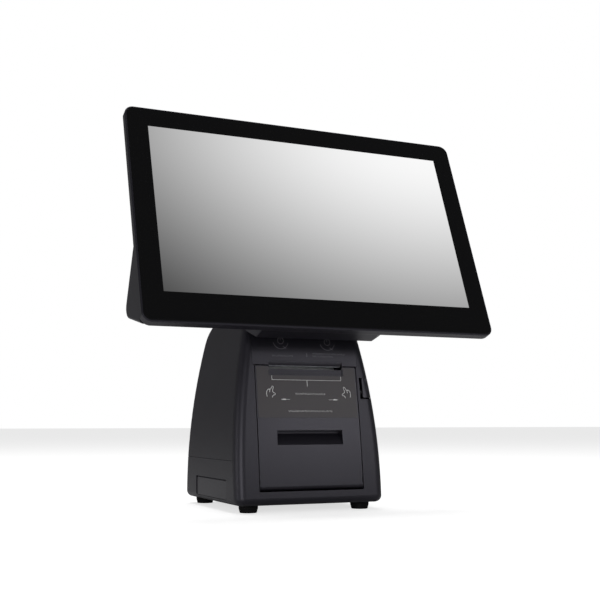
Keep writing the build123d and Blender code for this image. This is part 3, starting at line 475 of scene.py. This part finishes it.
@dataclass(frozen=True)
class FootRubber:
    """Moulded rubber: nearly black, very dull, dusted paler where it has rubbed."""

    name: str
    colour: str = "#0b0b0c"
    dust: str = "#1c1b1c"
    patch_mm: float = 6.0
    fine_mm: float = 0.5
    relief_mm: float = 0.03

    def material(self) -> bpy.types.Material:
        """Make the material."""
        mat, tree, place = begin(self.name)
        patches = add(
            tree,
            "TexNoise",
            {"Vector": place, "Scale": per_metre(self.patch_mm), "Detail": 6.0},
        )
        fine = add(
            tree,
            "TexNoise",
            {"Vector": place, "Scale": per_metre(self.fine_mm), "Detail": 2.0},
        )
        worn = add(tree, "MapRange", {0: patches.outputs["Fac"], 1: 0.45, 2: 0.75})
        colour = add(
            tree,
            "Mix",
            {0: worn.outputs[0], 6: linear(self.colour), 7: linear(self.dust)},
            data_type="RGBA",
        )
        bump = add(
            tree,
            "Bump",
            {"Height": fine.outputs["Fac"], "Distance": self.relief_mm * MM, "Strength": 0.7},
        )
        surface(
            tree,
            {
                "Base Color": colour.outputs[2],
                "Roughness": 0.85,
                "Specular IOR Level": 0.2,
                "Normal": bump.outputs["Normal"],
            },
        )
        return mat


@dataclass(frozen=True)
class CircuitBoard:
    """Solder-masked glass laminate: green over copper runs, with tinned pads."""

    name: str
    mask: str = "#0d3b1e"
    run: str = "#17562e"
    pad: str = "#a8aaa6"
    run_mm: float = 14.0
    pad_mm: float = 3.2
    relief_mm: float = 0.03

    def material(self) -> bpy.types.Material:
        """Make the material."""
        mat, tree, place = begin(self.name)
        runs = add(
            tree,
            "TexBrick",
            {
                "Vector": place,
                "Scale": per_metre(self.run_mm),
                "Color1": linear(self.mask),
                "Color2": linear(self.mask),
                "Mortar": linear(self.run),
                "Mortar Size": 0.06,
            },
        )
        pads = add(
            tree,
            "TexVoronoi",
            {"Vector": place, "Scale": per_metre(self.pad_mm), "Randomness": 0.35},
        )
        tinned = add(tree, "Math", {0: pads.outputs["Distance"], 1: 0.16}, operation="LESS_THAN")
        colour = add(
            tree,
            "Mix",
            {0: tinned.outputs[0], 6: runs.outputs["Color"], 7: linear(self.pad)},
            data_type="RGBA",
        )
        bump = add(
            tree,
            "Bump",
            {"Height": runs.outputs["Fac"], "Distance": self.relief_mm * MM, "Strength": 0.5},
        )
        surface(
            tree,
            {
                "Base Color": colour.outputs[2],
                "Metallic": tinned.outputs[0],
                "Roughness": 0.32,
                "Normal": bump.outputs["Normal"],
            },
        )
        return mat


@dataclass(frozen=True)
class CoverGlass:
    """Cover glass printed black round its edge, with the lit picture in the middle.

    The picture is a plain grey ramp, lightest at the top right. It belongs to the panel, so it
    is placed by the glass's own middle and lean. Its levels are on the display's own scale.
    """

    name: str
    width_mm: float = 344.2  # 15.6 inch panel, 16:9
    height_mm: float = 193.6
    above_middle_mm: float = 4.5  # the picture sits this much above the glass's middle
    border: str = "#101011"
    smudge_mm: float = 30.0
    edge: float = 0.0001  # share of the picture that is cut from each side
    top_right: float = 0.973
    left_drop: float = 0.319
    left_bend: float = 2.2
    low_drop: float = 0.34
    low_bend: float = 1.6
    gamma: float = 2.2

    def material(self) -> bpy.types.Material:
        """Make the material."""
        mat, tree, place = begin(self.name)
        centre = middle("display_glass") + SCREEN_UP * self.above_middle_mm * MM
        across = add(tree, "SeparateXYZ", {0: place}).outputs["X"]
        along = add(tree, "VectorMath", {0: place, 1: SCREEN_UP}, operation="DOT_PRODUCT")
        half_w, half_h = self.width_mm * MM / 2, self.height_mm * MM / 2
        level = centre.dot(SCREEN_UP)
        to_right = add(tree, "MapRange", {0: across, 1: -half_w, 2: half_w}).outputs[0]
        to_top = add(
            tree,
            "MapRange",
            {0: along.outputs["Value"], 1: level - half_h, 2: level + half_h},
        ).outputs[0]
        inside = None
        for value in (to_right, to_top):
            for limit, test in ((self.edge, "GREATER_THAN"), (1 - self.edge, "LESS_THAN")):
                within = add(tree, "Math", {0: value, 1: limit}, operation=test).outputs[0]
                if inside is not None:
                    both = add(tree, "Math", {0: inside, 1: within}, operation="MULTIPLY")
                    within = both.outputs[0]
                inside = within
        # The light falls off to the left, then towards the bottom.
        level_on_screen: bpy.types.NodeSocket | float = self.top_right
        for share, bend, drop in (
            (to_right, self.left_bend, self.left_drop),
            (to_top, self.low_bend, self.low_drop),
        ):
            rest = add(tree, "Math", {0: 1.0, 1: share}, operation="SUBTRACT").outputs[0]
            bent = add(tree, "Math", {0: rest, 1: bend}, operation="POWER").outputs[0]
            terms = {0: bent, 1: -drop, 2: level_on_screen}
            level_on_screen = add(tree, "Math", terms, operation="MULTIPLY_ADD").outputs[0]
        bright = add(tree, "Math", {0: level_on_screen, 1: self.gamma}, operation="POWER")
        lit = add(tree, "Math", {0: bright.outputs[0], 1: inside}, operation="MULTIPLY").outputs[0]
        picture = add(tree, "CombineXYZ", {0: lit, 1: lit, 2: lit}).outputs[0]
        smudge = add(
            tree,
            "TexNoise",
            {"Vector": place, "Scale": per_metre(self.smudge_mm), "Detail": 5.0},
        )
        rough = add(tree, "MapRange", {0: smudge.outputs["Fac"], 3: 0.06, 4: 0.16})
        surface(
            tree,
            {
                "Base Color": linear(self.border),
                "Roughness": rough.outputs[0],
                "IOR": 1.5,
                "Specular IOR Level": 0.12,
                "Emission Color": picture,
                "Emission Strength": 1.0,
            },
        )
        return mat


@dataclass(frozen=True)
class PrintedFilm:
    """Polyester label or screen ink: a thin even film with a faint silk grain."""

    name: str
    colour: str
    roughness: float = 0.45
    specular: float = 0.5
    grain_mm: float = 0.6
    relief_mm: float = 0.01

    def material(self) -> bpy.types.Material:
        """Make the material."""
        mat, tree, place = begin(self.name)
        grain = add(
            tree,
            "TexNoise",
            {"Vector": place, "Scale": per_metre(self.grain_mm), "Detail": 2.0},
        )
        shade = add(tree, "MapRange", {0: grain.outputs["Fac"], 3: 0.9, 4: 1.1})
        colour = add(
            tree,
            "Mix",
            {0: 1.0, 6: linear(self.colour), 7: shade.outputs[0]},
            data_type="RGBA",
            blend_type="MULTIPLY",
        )
        bump = add(
            tree,
            "Bump",
            {"Height": grain.outputs["Fac"], "Distance": self.relief_mm * MM, "Strength": 0.4},
        )
        surface(
            tree,
            {
                "Base Color": colour.outputs[2],
                "Roughness": self.roughness,
                "Specular IOR Level": self.specular,
                "Normal": bump.outputs["Normal"],
            },
        )
        return mat


@dataclass(frozen=True)
class NylonGauze:
    """Woven nylon over a vent: dark thread; its smaller near-black gaps are painted shade of the
    housing's inside.
    """

    name: str
    thread: str = "#242428"
    # near-black gap colour: painted shade seen through the weave
    gap: str = "#050506"
    pitch_mm: float = 0.8  # real gauze is about 0.3 mm
    relief_mm: float = 0.1

    def material(self) -> bpy.types.Material:
        """Make the material."""
        mat, tree, place = begin(self.name)
        weave = add(
            tree,
            "TexVoronoi",
            {"Vector": place, "Scale": per_metre(self.pitch_mm), "Randomness": 0.0},
        )
        weave_and_hole_shade = add(tree, "MapRange", {0: weave.outputs["Distance"], 1: 0.2, 2: 0.45})
        colour = add(
            tree,
            "Mix",
            {0: weave_and_hole_shade.outputs[0], 6: linear(self.gap), 7: linear(self.thread)},
            data_type="RGBA",
        )
        bump = add(
            tree,
            "Bump",
            {"Height": weave_and_hole_shade.outputs[0], "Distance": self.relief_mm * MM, "Strength": 0.8},
        )
        surface(
            tree,
            {
                "Base Color": colour.outputs[2],
                "Roughness": 0.7,
                "Normal": bump.outputs["Normal"],
            },
        )
        return mat


COVER = MouldedPlastic("textured_black_abs", "#121116", "#1a191f", 0.42, specular=0.5)
DOOR = MouldedPlastic("textured_door_abs", "#131217", "#1b1a20", 0.38, specular=0.5)
HEAD = MouldedPlastic(
    "satin_head_abs", "#111015", "#19181f", 0.36, grain_mm=0.5, relief_mm=0.015, specular=0.5
)
GREY = MouldedPlastic("grey_slot_abs", "#2c2b30", "#38373c", 0.42, grain_mm=0.5)
ACETAL = MouldedPlastic("natural_acetal", "#d8d6cc", "#e6e4dc", 0.38, grain_mm=1.5, specular=0.5)
SOCKET = MouldedPlastic("black_nylon_socket", "#0b0b0c", "#131314", 0.4, grain_mm=0.4)
PANEL = MouldedPlastic("display_panel_tray", "#0c0c0d", "#151516", 0.25, grain_mm=3.0)
ZINC = SheetMetal("zinc_plated_steel", "#a9adb0", "#8b9093", 0.36)
GROUND = SheetMetal("ground_steel", "#c9cbcd", "#b4b6b8", 0.2, spangle_mm=3.0)
SPRING = SheetMetal("spring_steel", "#9a9b9e", "#77787b", 0.3, spangle_mm=2.0)
BLADE = SheetMetal("ground_blade_steel", "#909196", "#77787c", 0.3, spangle_mm=3.0)
TINNED = SheetMetal("tinned_shell", "#c4c6c6", "#a9abab", 0.28, spangle_mm=4.0)
GOLD = SheetMetal("gold_flashed_contact", "#d9b25a", "#b8913f", 0.25, spangle_mm=1.0)
ALUMINIUM = SheetMetal("extruded_aluminium", "#c8cacc", "#b2b4b7", 0.34, stretch=(1.0, 0.04, 1.0))
BRASS = SheetMetal("rolled_brass", "#c2a25c", "#a3843f", 0.3)
# Black coat for the supply, motor, speakers and plates; on printer_chassis it is painted shade.
BLACK_COAT_AND_PAINTED_SHADE = MouldedPlastic(
    "black_coat_and_painted_shade", "#161617", "#202022", 0.5, grain_mm=1.2, relief_mm=0.05
)
RUBBER = FootRubber("foot_rubber_compound")
BOARD = CircuitBoard("solder_mask_green")
GLASS = CoverGlass("printed_cover_glass")
LABEL = PrintedFilm("grey_brown_label_film", "#332e32")
CERAMIC = PrintedFilm("glazed_ceramic", "#d9d2bf", roughness=0.15)
BRIGHT_INK = PrintedFilm("white_screen_ink", "#ececec", roughness=0.6)
# Grey ink: the rating plate's own print colour, and on the upper panel painted shade of the head's
# shadow.
GREY_INK_AND_PAINTED_SHADE = PrintedFilm("grey_ink_and_painted_shade", "#6d6a70", roughness=0.6)
PLATE_FILM = PrintedFilm("silver_plate_film", "#8d9093", roughness=0.35)
GAUZE = NylonGauze("vent_gauze")

NODE_FINISH: dict[Finish, tuple[str, ...]] = {
    COVER: ("base_tray", "body_shell", "front_bezel", "top_cover"),
    DOOR: ("paper_lid", "upper_panel", "release_button", "cable_covers"),
    HEAD: ("front_frame", "back_panel", "rear_housing", "neck_cover", "power_button"),
    GREY: ("lid_lip", "tear_bar_holder"),
    ACETAL: ("platen_gear", "idler_gear", "motor_pinion", "platen_bushings"),
    SOCKET: ("drawer_port", "power_inlet"),
    PANEL: ("lcd_module",),
    ZINC: ("lid_frame", "side_frames", "hinge_bracket", "tilt_bracket", "io_plate"),
    GROUND: (
        "platen_shaft",
        "head_pivot",
        "idler_pin",
        "motor_shaft",
        "lid_hinge_pins",
        "hinge_pins",
        "base_screws",
    ),
    SPRING: ("head_springs", "button_spring", "hinge_nuts"),
    BLADE: ("tear_blade",),
    TINNED: ("lan_port", "usb_ports"),
    ALUMINIUM: ("head_heat_sink", "heat_sink"),
    BRASS: ("friction_washers",),
    BLACK_COAT_AND_PAINTED_SHADE: (
        "ballast_plate",
        "power_supply",
        "stepper_motor",
        "speakers",
        # printer_chassis is dressed black so the view through the paper slot stays dark: painted
        # shade.
        "printer_chassis",
        "head_carrier",
    ),
    RUBBER: ("rubber_feet", "platen_roller"),
    BOARD: ("controller_board", "io_board", "main_board"),
    GLASS: ("display_glass",),
    LABEL: ("lid_overlay",),
    CERAMIC: ("heater_strip",),
}


def dress_nodes(nodes: dict[str, bpy.types.Object]) -> dict[Finish, bpy.types.Material]:
    """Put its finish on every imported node.

    Args:
        nodes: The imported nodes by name.

    Returns:
        The material made for each finish.
    """
    made = {finish: finish.material() for finish in NODE_FINISH}
    bare = set(nodes)
    for finish, names in NODE_FINISH.items():
        for name in names:
            for slot in nodes[name].material_slots:
                slot.material = made[finish]
            bare.discard(name)
    if bare:
        raise ValueError(f"nodes without a finish: {sorted(bare)}")
    LOG.info("dressed %d nodes", len(nodes))
    return made


# ---------------------------------------------------------------- print on the front covers
ZIGZAG = (0.5, -0.5, 0.35, -0.5, 0.5, -0.35)  # rise of a word's stroke, in word heights


@dataclass
class FrontPrint:
    """Light print on the paper door, and grey print on the panel above it as painted shade of the
    head's shadow.

    Words are drawn as a zigzag of their size, so that nothing can be read. Places are (x, z) in
    millimetres on the front face.
    """

    line_r_mm: float = 0.3
    word_height_mm: float = 1.9
    word_step_mm: float = 0.55
    word_gap_mm: float = 0.9
    word_weight: float = 0.75  # a word's stroke against line_r_mm
    proud: float = 0.4  # share of a stroke's radius that stands above the surface

    def on_front(self, node: str, x_mm: float, z_mm: float, radius: float) -> tuple[Vector, float]:
        """Point of a stroke on a node's front face, and its radius there."""
        start = Vector((x_mm * MM, -1, z_mm * MM))
        point = touch(node, start, Vector((0, 1, 0)))
        return point + Vector((0, (1 - self.proud) * radius, 0)), radius

    def stroke(self, node: str, outline: Outline, radius_mm: float) -> Stroke:
        """A stroke of even width through (x, z) points."""
        return [self.on_front(node, x, z, radius_mm * MM) for x, z in outline]

    def words(
        self, node: str, left: float, right: float, z: float, lengths: list[float]
    ) -> list[Stroke]:
        """Unreadable words from left to right.

        Args:
            node: The cover they are printed on.
            left: Where the line starts.
            right: Where it ends.
            z: Middle height of the line.
            lengths: Word lengths in millimetres, used in turn.

        Returns:
            One stroke for each word.
        """
        strokes, x, count = [], left, 0
        while x < right - 1:
            end = min(x + lengths[count % len(lengths)], right)
            steps = max(2, int((end - x) / self.word_step_mm))
            outline = [
                (
                    x + (end - x) * i / steps,
                    z + ZIGZAG[(i + count) % len(ZIGZAG)] * self.word_height_mm,
                )
                for i in range(steps + 1)
            ]
            strokes.append(self.stroke(node, outline, self.line_r_mm * self.word_weight))
            x, count = end + self.word_gap_mm, count + 1
        return strokes

    def arrow(self, node: str, tail: float, tip: float, z: float) -> Stroke:
        """A thin tail that swells into a pointed head."""
        way = 1 if tip > tail else -1
        marks = [
            (tail, 0.18),
            (tip - way * 6.0, 0.22),
            (tip - way * 5.0, 0.9),
            (tip - way * 2.6, 0.8),
            (tip, 0.1),
        ]
        return [self.on_front(node, x, z, r * MM) for x, r in marks]

    def hand(self, node: str, x: float, z: float, way: int) -> list[Stroke]:
        """A hand that presses with thumb and finger, mirrored by way."""
        back = [(-4.4, -4.8), (-5.0, -2.0), (-4.6, 0.8), (-3.4, 2.6), (-1.8, 3.2), (-0.4, 2.8)]
        finger = [(-0.4, 2.8), (0.6, 4.4), (1.6, 6.0), (2.8, 6.2)]
        finger += [(3.0, 4.8), (2.2, 2.6), (1.8, 0.6)]
        thumb = [(1.8, 0.6), (3.2, -0.6), (4.9, -1.4), (4.6, -2.8)]
        thumb += [(3.0, -3.0), (1.8, -4.0), (1.2, -5.6)]
        knuckles = [(-1.6, 3.0), (-1.0, 1.2), (-1.6, -0.2)]
        runs = (back, finger, thumb, knuckles)
        return [self.stroke(node, [(x + way * u, z + w) for u, w in run], 0.36) for run in runs]

    def door(self) -> bpy.types.Object:
        """Paper width mark, hands, arrows and two lines of words on the door's label."""
        node = "lid_overlay"
        runs = [
            self.stroke(node, [(-40, 139.8), (-40, 135.5), (40, 135.5), (40, 139.8)], 0.32),
            self.stroke(node, [(0, 135.5), (0, 129.0)], 0.34),
            self.arrow(node, -21, -31, 115),
            self.arrow(node, 24, 35, 115),
            *self.hand(node, -42, 122.5, 1),
            *self.hand(node, 45.3, 122.5, -1),
            *self.words(node, -14, 20, 121, [5.6, 3.0, 2.2, 6.1, 5.0]),
            *self.words(node, -23, 27, 103, [5.4, 2.3, 4.1, 3.0, 6.2, 2.0]),
        ]
        return wires("door_print", runs)

    def panel(self) -> bpy.types.Object:
        """Two roll pictograms and their words above the slot."""
        node = "upper_panel"
        runs = [
            *self.words(node, -38, -13, 161, [4.4, 3.1, 5.0]),
            *self.words(node, 9, 47, 164.2, [4.8, 2.6, 5.5, 3.6]),
            *self.words(node, 9, 33, 161.4, [3.6, 5.0, 2.8]),
            self.stroke(node, [(2, 164.2), (2, 160.4)], 0.4),
        ]
        for x in (-27.3, 27.3):
            arcs = ((8.7, 195, 345), (8.7, 20, 160), (3.4, 0, 360))
            runs += [
                *(self.stroke(node, part_circle(x, 177, *arc), self.line_r_mm) for arc in arcs),
                self.stroke(node, [(x - 0.6, 181.5), (x - 0.2, 177.5)], 0.3),
                self.stroke(node, [(x + 2.4, 171.2), (x + 6.0, 168.6)], 0.3),
            ]
        return wires("panel_print", runs)

    def build(self, bright: bpy.types.Material, painted_shade_ink: bpy.types.Material) -> None:
        """Make both prints and hand them over."""
        hand_over(self.door(), Body.LID, bright)
        # The panel's print takes the grey ink: painted shade of the head's shadow over the panel.
        hand_over(self.panel(), Body.BASE, painted_shade_ink)


# ---------------------------------------------------------------- screws
@dataclass
class PanScrews:
    """Cross-recessed pan head screws, modelled once and copied."""

    head_r_mm: float = 2.8
    head_h_mm: float = 1.5
    recess_mm: float = 1.0
    panel_edge_mm: float = 14.0
    panel_rows_mm: tuple[float, float] = (108.0, 20.0)  # up the panel from its middle
    plate_edge_mm: tuple[float, float] = (8.0, 7.0)

    def pattern(self) -> bpy.types.Object:
        """One screw head that stands on the XY plane."""
        bpy.ops.mesh.primitive_cylinder_add(
            vertices=32,
            radius=self.head_r_mm * MM,
            depth=self.head_h_mm * MM,
            location=(0, 0, self.head_h_mm * MM / 2),
        )
        head = settle(bpy.context.active_object)
        with editing(head, facing_up):
            bpy.ops.mesh.bevel(offset=self.head_h_mm * MM * 0.55, segments=4, affect="EDGES")
        arms = []
        for size in ((0.3, 1.5), (1.5, 0.3)):
            bpy.ops.mesh.primitive_cube_add(size=1, location=(0, 0, self.head_h_mm * MM))
            arm = bpy.context.active_object
            arm.scale = (2 * size[0] * MM, 2 * size[1] * MM, 2 * self.recess_mm * MM)
            settle(arm)
            with editing(arm, lambda face: face.normal.z < -0.9):
                bpy.ops.transform.resize(value=(0.55, 0.55, 1))
            arms.append(arm)
        for arm in arms:
            applied(head, "BOOLEAN", object=arm, operation="DIFFERENCE", solver="EXACT")
            bpy.data.objects.remove(arm)
        return smoothed(head)

    def build(self, material: bpy.types.Material) -> None:
        """Screws on the screen's back and on the connector plate."""
        _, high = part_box("back_panel")
        half_w = high[0] - self.panel_edge_mm * MM
        places = [
            on_screen_back(x, up_mm)
            for x in (-half_w, -half_w / 3, half_w / 3, half_w)
            for up_mm in self.panel_rows_mm
        ]
        screws = copies(self.pattern(), places, "panel_screws")
        hand_over(screws, Body.HEAD, material)
        low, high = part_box("io_plate")
        side, top = (inset * MM for inset in self.plate_edge_mm)
        places = [
            facing(Vector((x, high[1], high[2] - top)), Vector((0, 1, 0)))
            for x in (low[0] + side, high[0] - side)
        ]
        screws = copies(self.pattern(), places, "plate_screws")
        hand_over(screws, Body.BASE, material)


# ---------------------------------------------------------------- back of the screen
@dataclass
class ScreenBack:
    """Blank rating plate, vent gauze and the mark on the power button."""

    plate_mm: tuple[float, float] = (72.0, 34.0)
    plate_t_mm: float = 0.5
    plate_up_mm: float = 62.0
    gauze_mm: tuple[float, float] = (102.0, 30.0)
    gauze_x_mm: float = 104.0
    wall_mm: float = 3.4

    def upright(self, edge: bmesh.types.BMEdge) -> bool:
        """Whether an edge of the plate's blank stands across its thickness."""
        first, last = edge.verts
        return abs(first.co.z - last.co.z) > self.plate_t_mm * MM

    def plate(self) -> bpy.types.Object:
        """Thin plate with rounded corners and a sunk field."""
        bpy.ops.mesh.primitive_cube_add(size=1)
        plate = bpy.context.active_object
        plate.scale = (self.plate_mm[0] * MM, self.plate_mm[1] * MM, 2 * self.plate_t_mm * MM)
        settle(plate)
        with editing(plate, self.upright, "EDGE"):
            bpy.ops.mesh.bevel(offset=3 * MM, segments=6)
        with editing(plate, facing_up):
            bpy.ops.mesh.inset(thickness=1.6 * MM)
            bpy.ops.transform.translate(value=(0, 0, -0.15 * MM))
            bpy.ops.mesh.inset(thickness=0.2 * MM)
        plate.name = "rating_plate"
        return smoothed(settle(plate, on_screen_back(0, self.plate_up_mm)), 30)

    def plate_print(self) -> bpy.types.Object:
        """Rows of short bars that stand for the plate's words."""
        place = on_screen_back(0, self.plate_up_mm)
        runs, radius = [], 0.28 * MM
        height = (self.plate_t_mm - 0.3) * MM
        left, top, row_step, gap = -31, 10.5, 5.0, 1.8
        rows = ((3, 12.0), (6, 7.0), (5, 9.0), (7, 5.5), (4, 10.0))
        for row, (count, length) in enumerate(rows):
            y = top - row * row_step
            for i in range(count):
                x = left + i * (length + gap)
                ends = ((x, y), (x + length, y))
                runs.append([(place @ Vector((u * MM, v * MM, height)), radius) for u, v in ends])
        return wires("plate_print", runs)

    def gauze(self) -> bpy.types.Object:
        """A sheet of gauze behind each group of vent slots, its rim turned over."""
        out = Vector((0, math.cos(HOUSING_REAR), math.sin(HOUSING_REAR)))
        start = middle("rear_housing") + out * CLEAR
        on_face = touch("rear_housing", start, -out)
        bpy.ops.mesh.primitive_grid_add(x_subdivisions=24, y_subdivisions=8, size=1)
        sheet = bpy.context.active_object
        sheet.scale = (self.gauze_mm[0] * MM, self.gauze_mm[1] * MM, 1)
        settle(sheet)
        with editing(sheet, lambda face: True):
            bpy.ops.mesh.extrude_region_move(TRANSFORM_OT_translate={"value": (0, 0, 0.3 * MM)})
        with editing(sheet, facing_up):
            bpy.ops.mesh.inset(thickness=1.5 * MM)
            bpy.ops.transform.translate(value=(0, 0, -0.1 * MM))
        places = []
        for side in (-1, 1):
            spot = on_face - out * self.wall_mm * MM + Vector((side * self.gauze_x_mm * MM, 0, 0))
            places.append(facing(spot, out))
        return copies(sheet, places, "vent_gauze_sheets")

    def power_mark(self) -> bpy.types.Object:
        """Broken ring and bar, the common sign for power."""
        out = Vector((0, math.cos(HOUSING_UNDER), math.sin(HOUSING_UNDER)))
        centre = middle("power_button")
        face = touch("power_button", centre + out * 0.1, -out)
        place = facing(face, out)
        radius, sunk = 0.3 * MM, -0.1 * MM
        ring = part_circle(0, 0, 2.6 * MM, 125, 415, 28)
        bar = [(0, 0.8 * MM), (0, 3.4 * MM)]
        runs = [[(place @ Vector((u, v, sunk)), radius) for u, v in run] for run in (ring, bar)]
        return wires("power_mark", runs)

    def build(self, made: dict[Finish, bpy.types.Material]) -> None:
        """Make every piece of the screen's back and hand it over."""
        hand_over(self.plate(), Body.HEAD, made[PLATE_FILM])
        hand_over(self.plate_print(), Body.HEAD, made[GREY_INK_AND_PAINTED_SHADE])
        hand_over(self.gauze(), Body.HEAD, made[GAUZE])
        hand_over(self.power_mark(), Body.POWER_KEY, made[BRIGHT_INK])


# ---------------------------------------------------------------- sockets at the back
class Socket(Enum):
    """Modular sockets: the node, its number of contacts and their pitch in millimetres."""

    LAN = ("lan_port", 8, 1.02)
    DRAWER = ("drawer_port", 6, 1.02)


WIRE_PATH = [(-10.2, 4.4), (-8.8, 4.2), (-3.2, 3.4), (-2.6, 2.9)]  # (y, z) from mouth and floor


@dataclass
class SocketContacts:
    """Sprung contacts in the sockets and the pin of the power inlet."""

    wire_r_mm: float = 0.2
    flat_r_mm: float = 0.3

    def contact(self, node: str, across_mm: float, path: Outline, radius_mm: float) -> Stroke:
        """A contact in a socket.

        Args:
            node: The socket.
            across_mm: Distance from its middle along X.
            path: Points (y, z) in millimetres from its mouth and its floor.
            radius_mm: Radius of the wire.

        Returns:
            The contact's points and radii.
        """
        low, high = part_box(node)
        x = (low[0] + high[0]) / 2 + across_mm * MM
        radius = radius_mm * MM
        return [(Vector((x, high[1] + y * MM, low[2] + z * MM)), radius) for y, z in path]

    def modular(self, socket: Socket) -> bpy.types.Object:
        """Wires that slope down and forward from the roof of a modular socket."""
        node, count, pitch = socket.value
        runs = []
        for i in range(count):
            across_mm = (i - (count - 1) / 2) * pitch
            runs.append(self.contact(node, across_mm, WIRE_PATH, self.wire_r_mm))
        return wires(node + "_contacts", runs, sides=2)

    def usb(self) -> bpy.types.Object:
        """Four straight contacts under each tongue."""
        runs = []
        for tongue_mm in (4.6, 12.4):
            ends = [(-8.4, tongue_mm), (-1.6, tongue_mm)]
            for across_mm in (-3.5, -1.0, 1.0, 3.5):
                runs.append(self.contact("usb_ports", across_mm, ends, self.flat_r_mm))
        return wires("usb_contacts", runs, sides=2)

    def inlet_pin(self) -> bpy.types.Object:
        """Centre pin of the power inlet, with a domed tip."""
        low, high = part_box("power_inlet")
        centre = Vector(((low[0] + high[0]) / 2, high[1] - 6.0 * MM, (low[2] + high[2]) / 2))
        bpy.ops.mesh.primitive_cylinder_add(vertices=24, radius=1.0 * MM, depth=8.2 * MM)
        pin = bpy.context.active_object
        with editing(pin, facing_up):
            bpy.ops.mesh.bevel(offset=0.7 * MM, segments=4, affect="EDGES")
        pin.name = "inlet_pin"
        return smoothed(settle(pin, facing(centre, Vector((0, 1, 0)))), 40)

    def build(self, gold: bpy.types.Material, steel: bpy.types.Material) -> None:
        """Make the contacts and hand them over."""
        for socket in Socket:
            hand_over(self.modular(socket), Body.BASE, gold)
        hand_over(self.usb(), Body.BASE, gold)
        hand_over(self.inlet_pin(), Body.BASE, steel)


# ---------------------------------------------------------------- studio
@dataclass
class Studio:
    """Pale floor, soft light and the camera."""

    camera_at: tuple[float, float, float] = (-0.4342, -1.00345, 0.0925)
    yaw_deg: float = 24.04
    pitch_deg: float = 6.98
    lens_mm: float = 59.4
    floor_half: float = 12.0
    floor_glow: float = 0.72  # seen by the camera alone, so it lights nothing
    air_light: float = 0.16
    air_seen: float = 1.0

    def floor(self) -> None:
        """A large pale floor, nearly as light as the surroundings, that keeps its shadows."""
        size = 2 * self.floor_half
        bpy.ops.mesh.primitive_grid_add(x_subdivisions=8, y_subdivisions=8, size=size)
        floor = bpy.context.active_object
        floor.name = "studio_floor"
        mat, tree, place = begin("pale_paper")
        fleck = add(tree, "TexNoise", {"Vector": place, "Scale": per_metre(20), "Detail": 3.0})
        tone = add(
            tree,
            "Mix",
            {0: fleck.outputs["Fac"], 6: linear("#f4f4f4"), 7: linear("#f8f8f8")},
            data_type="RGBA",
        )
        seen = add(tree, "LightPath").outputs["Is Camera Ray"]
        glow = add(tree, "Math", {0: seen, 1: self.floor_glow}, operation="MULTIPLY").outputs[0]
        surface(
            tree,
            {
                "Base Color": tone.outputs[2],
                "Roughness": 0.9,
                "Specular IOR Level": 0.1,
                "Emission Color": tone.outputs[2],
                "Emission Strength": glow,
            },
        )
        floor.data.materials.append(mat)
        floor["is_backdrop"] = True

    def light(
        self, name: str, at: Vector, aim: Vector, size: tuple[float, float], watts: float
    ) -> None:
        """One rectangular soft light.

        Args:
            name: Its name.
            at: Where it hangs.
            aim: The point it shines at.
            size: Its two sides.
            watts: Its power.
        """
        lamp = bpy.data.lights.new(name, "AREA")
        lamp.shape = "RECTANGLE"
        lamp.size, lamp.size_y = size
        lamp.energy = watts
        holder = bpy.data.objects.new(name, lamp)
        holder.location = at
        holder.rotation_euler = (aim - at).to_track_quat("-Z", "Y").to_euler()
        bpy.context.collection.objects.link(holder)

    def lights(self) -> None:
        """Soft boxes overhead, at the right of the door, at the left and in front."""
        low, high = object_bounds()
        half_up = (low[2] + high[2]) / 2
        for name, at, aim, size, watts in (
            ("overhead", (0.0, 0.5, 2.2), (0, 0, half_up), (1.8, 1.2), 20),
            ("door_key", (0.72, -1.42, 0.52), (0, -0.05, 0.1), (0.6, 0.22), 3.6),
            ("left", (-1.8, -0.2, 0.25), (0, 0, 0.1), (0.8, 0.3), 3),
            ("front_fill", (-1.0, -1.6, 0.32), (0, -0.05, 0.11), (0.5, 0.3), 7),
        ):
            self.light(name, Vector(at), Vector(aim), size, watts)

    def world(self) -> None:
        """White surroundings that light the object more dimly than they look."""
        world = bpy.data.worlds.new("studio_air")
        bpy.context.scene.world = world
        world.use_nodes = True
        tree = world.node_tree
        tree.nodes.clear()
        seen = add(tree, "LightPath").outputs["Is Camera Ray"]
        strength = add(tree, "MapRange", {0: seen, 3: self.air_light, 4: self.air_seen})
        air = add(
            tree,
            "Background",
            {"Color": linear("#ffffff"), "Strength": strength.outputs[0]},
        )
        add(tree, "OutputWorld", {"Surface": air.outputs[0]})

    def camera(self) -> None:
        """Camera at eye level with the base, looking slightly up."""
        view = bpy.data.cameras.new("front_left")
        view.lens = self.lens_mm
        view.sensor_width = 36
        holder = bpy.data.objects.new("front_left", view)
        holder.location = self.camera_at
        holder.rotation_euler = (
            math.radians(90 + self.pitch_deg),
            0,
            -math.radians(self.yaw_deg),
        )
        bpy.context.collection.objects.link(holder)
        bpy.context.scene.camera = holder

    def build(self) -> None:
        """Set up the whole studio."""
        self.floor()
        self.lights()
        self.world()
        self.camera()
        bpy.context.scene.view_settings.view_transform = "Standard"
        LOG.info("studio ready")


def main() -> None:
    """Load the model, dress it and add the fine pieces."""
    logging.basicConfig(level=logging.INFO, format="%(name)s: %(message)s")
    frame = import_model()
    made = dress_nodes(frame["nodes"])
    for finish in (BRIGHT_INK, GREY_INK_AND_PAINTED_SHADE, PLATE_FILM, GAUZE, GOLD):
        made[finish] = finish.material()
    FrontPrint().build(made[BRIGHT_INK], made[GREY_INK_AND_PAINTED_SHADE])
    PanScrews().build(made[GROUND])
    ScreenBack().build(made)
    SocketContacts().build(made[GOLD], made[GROUND])
    Studio().build()


if __name__ == "__main__":
    main()
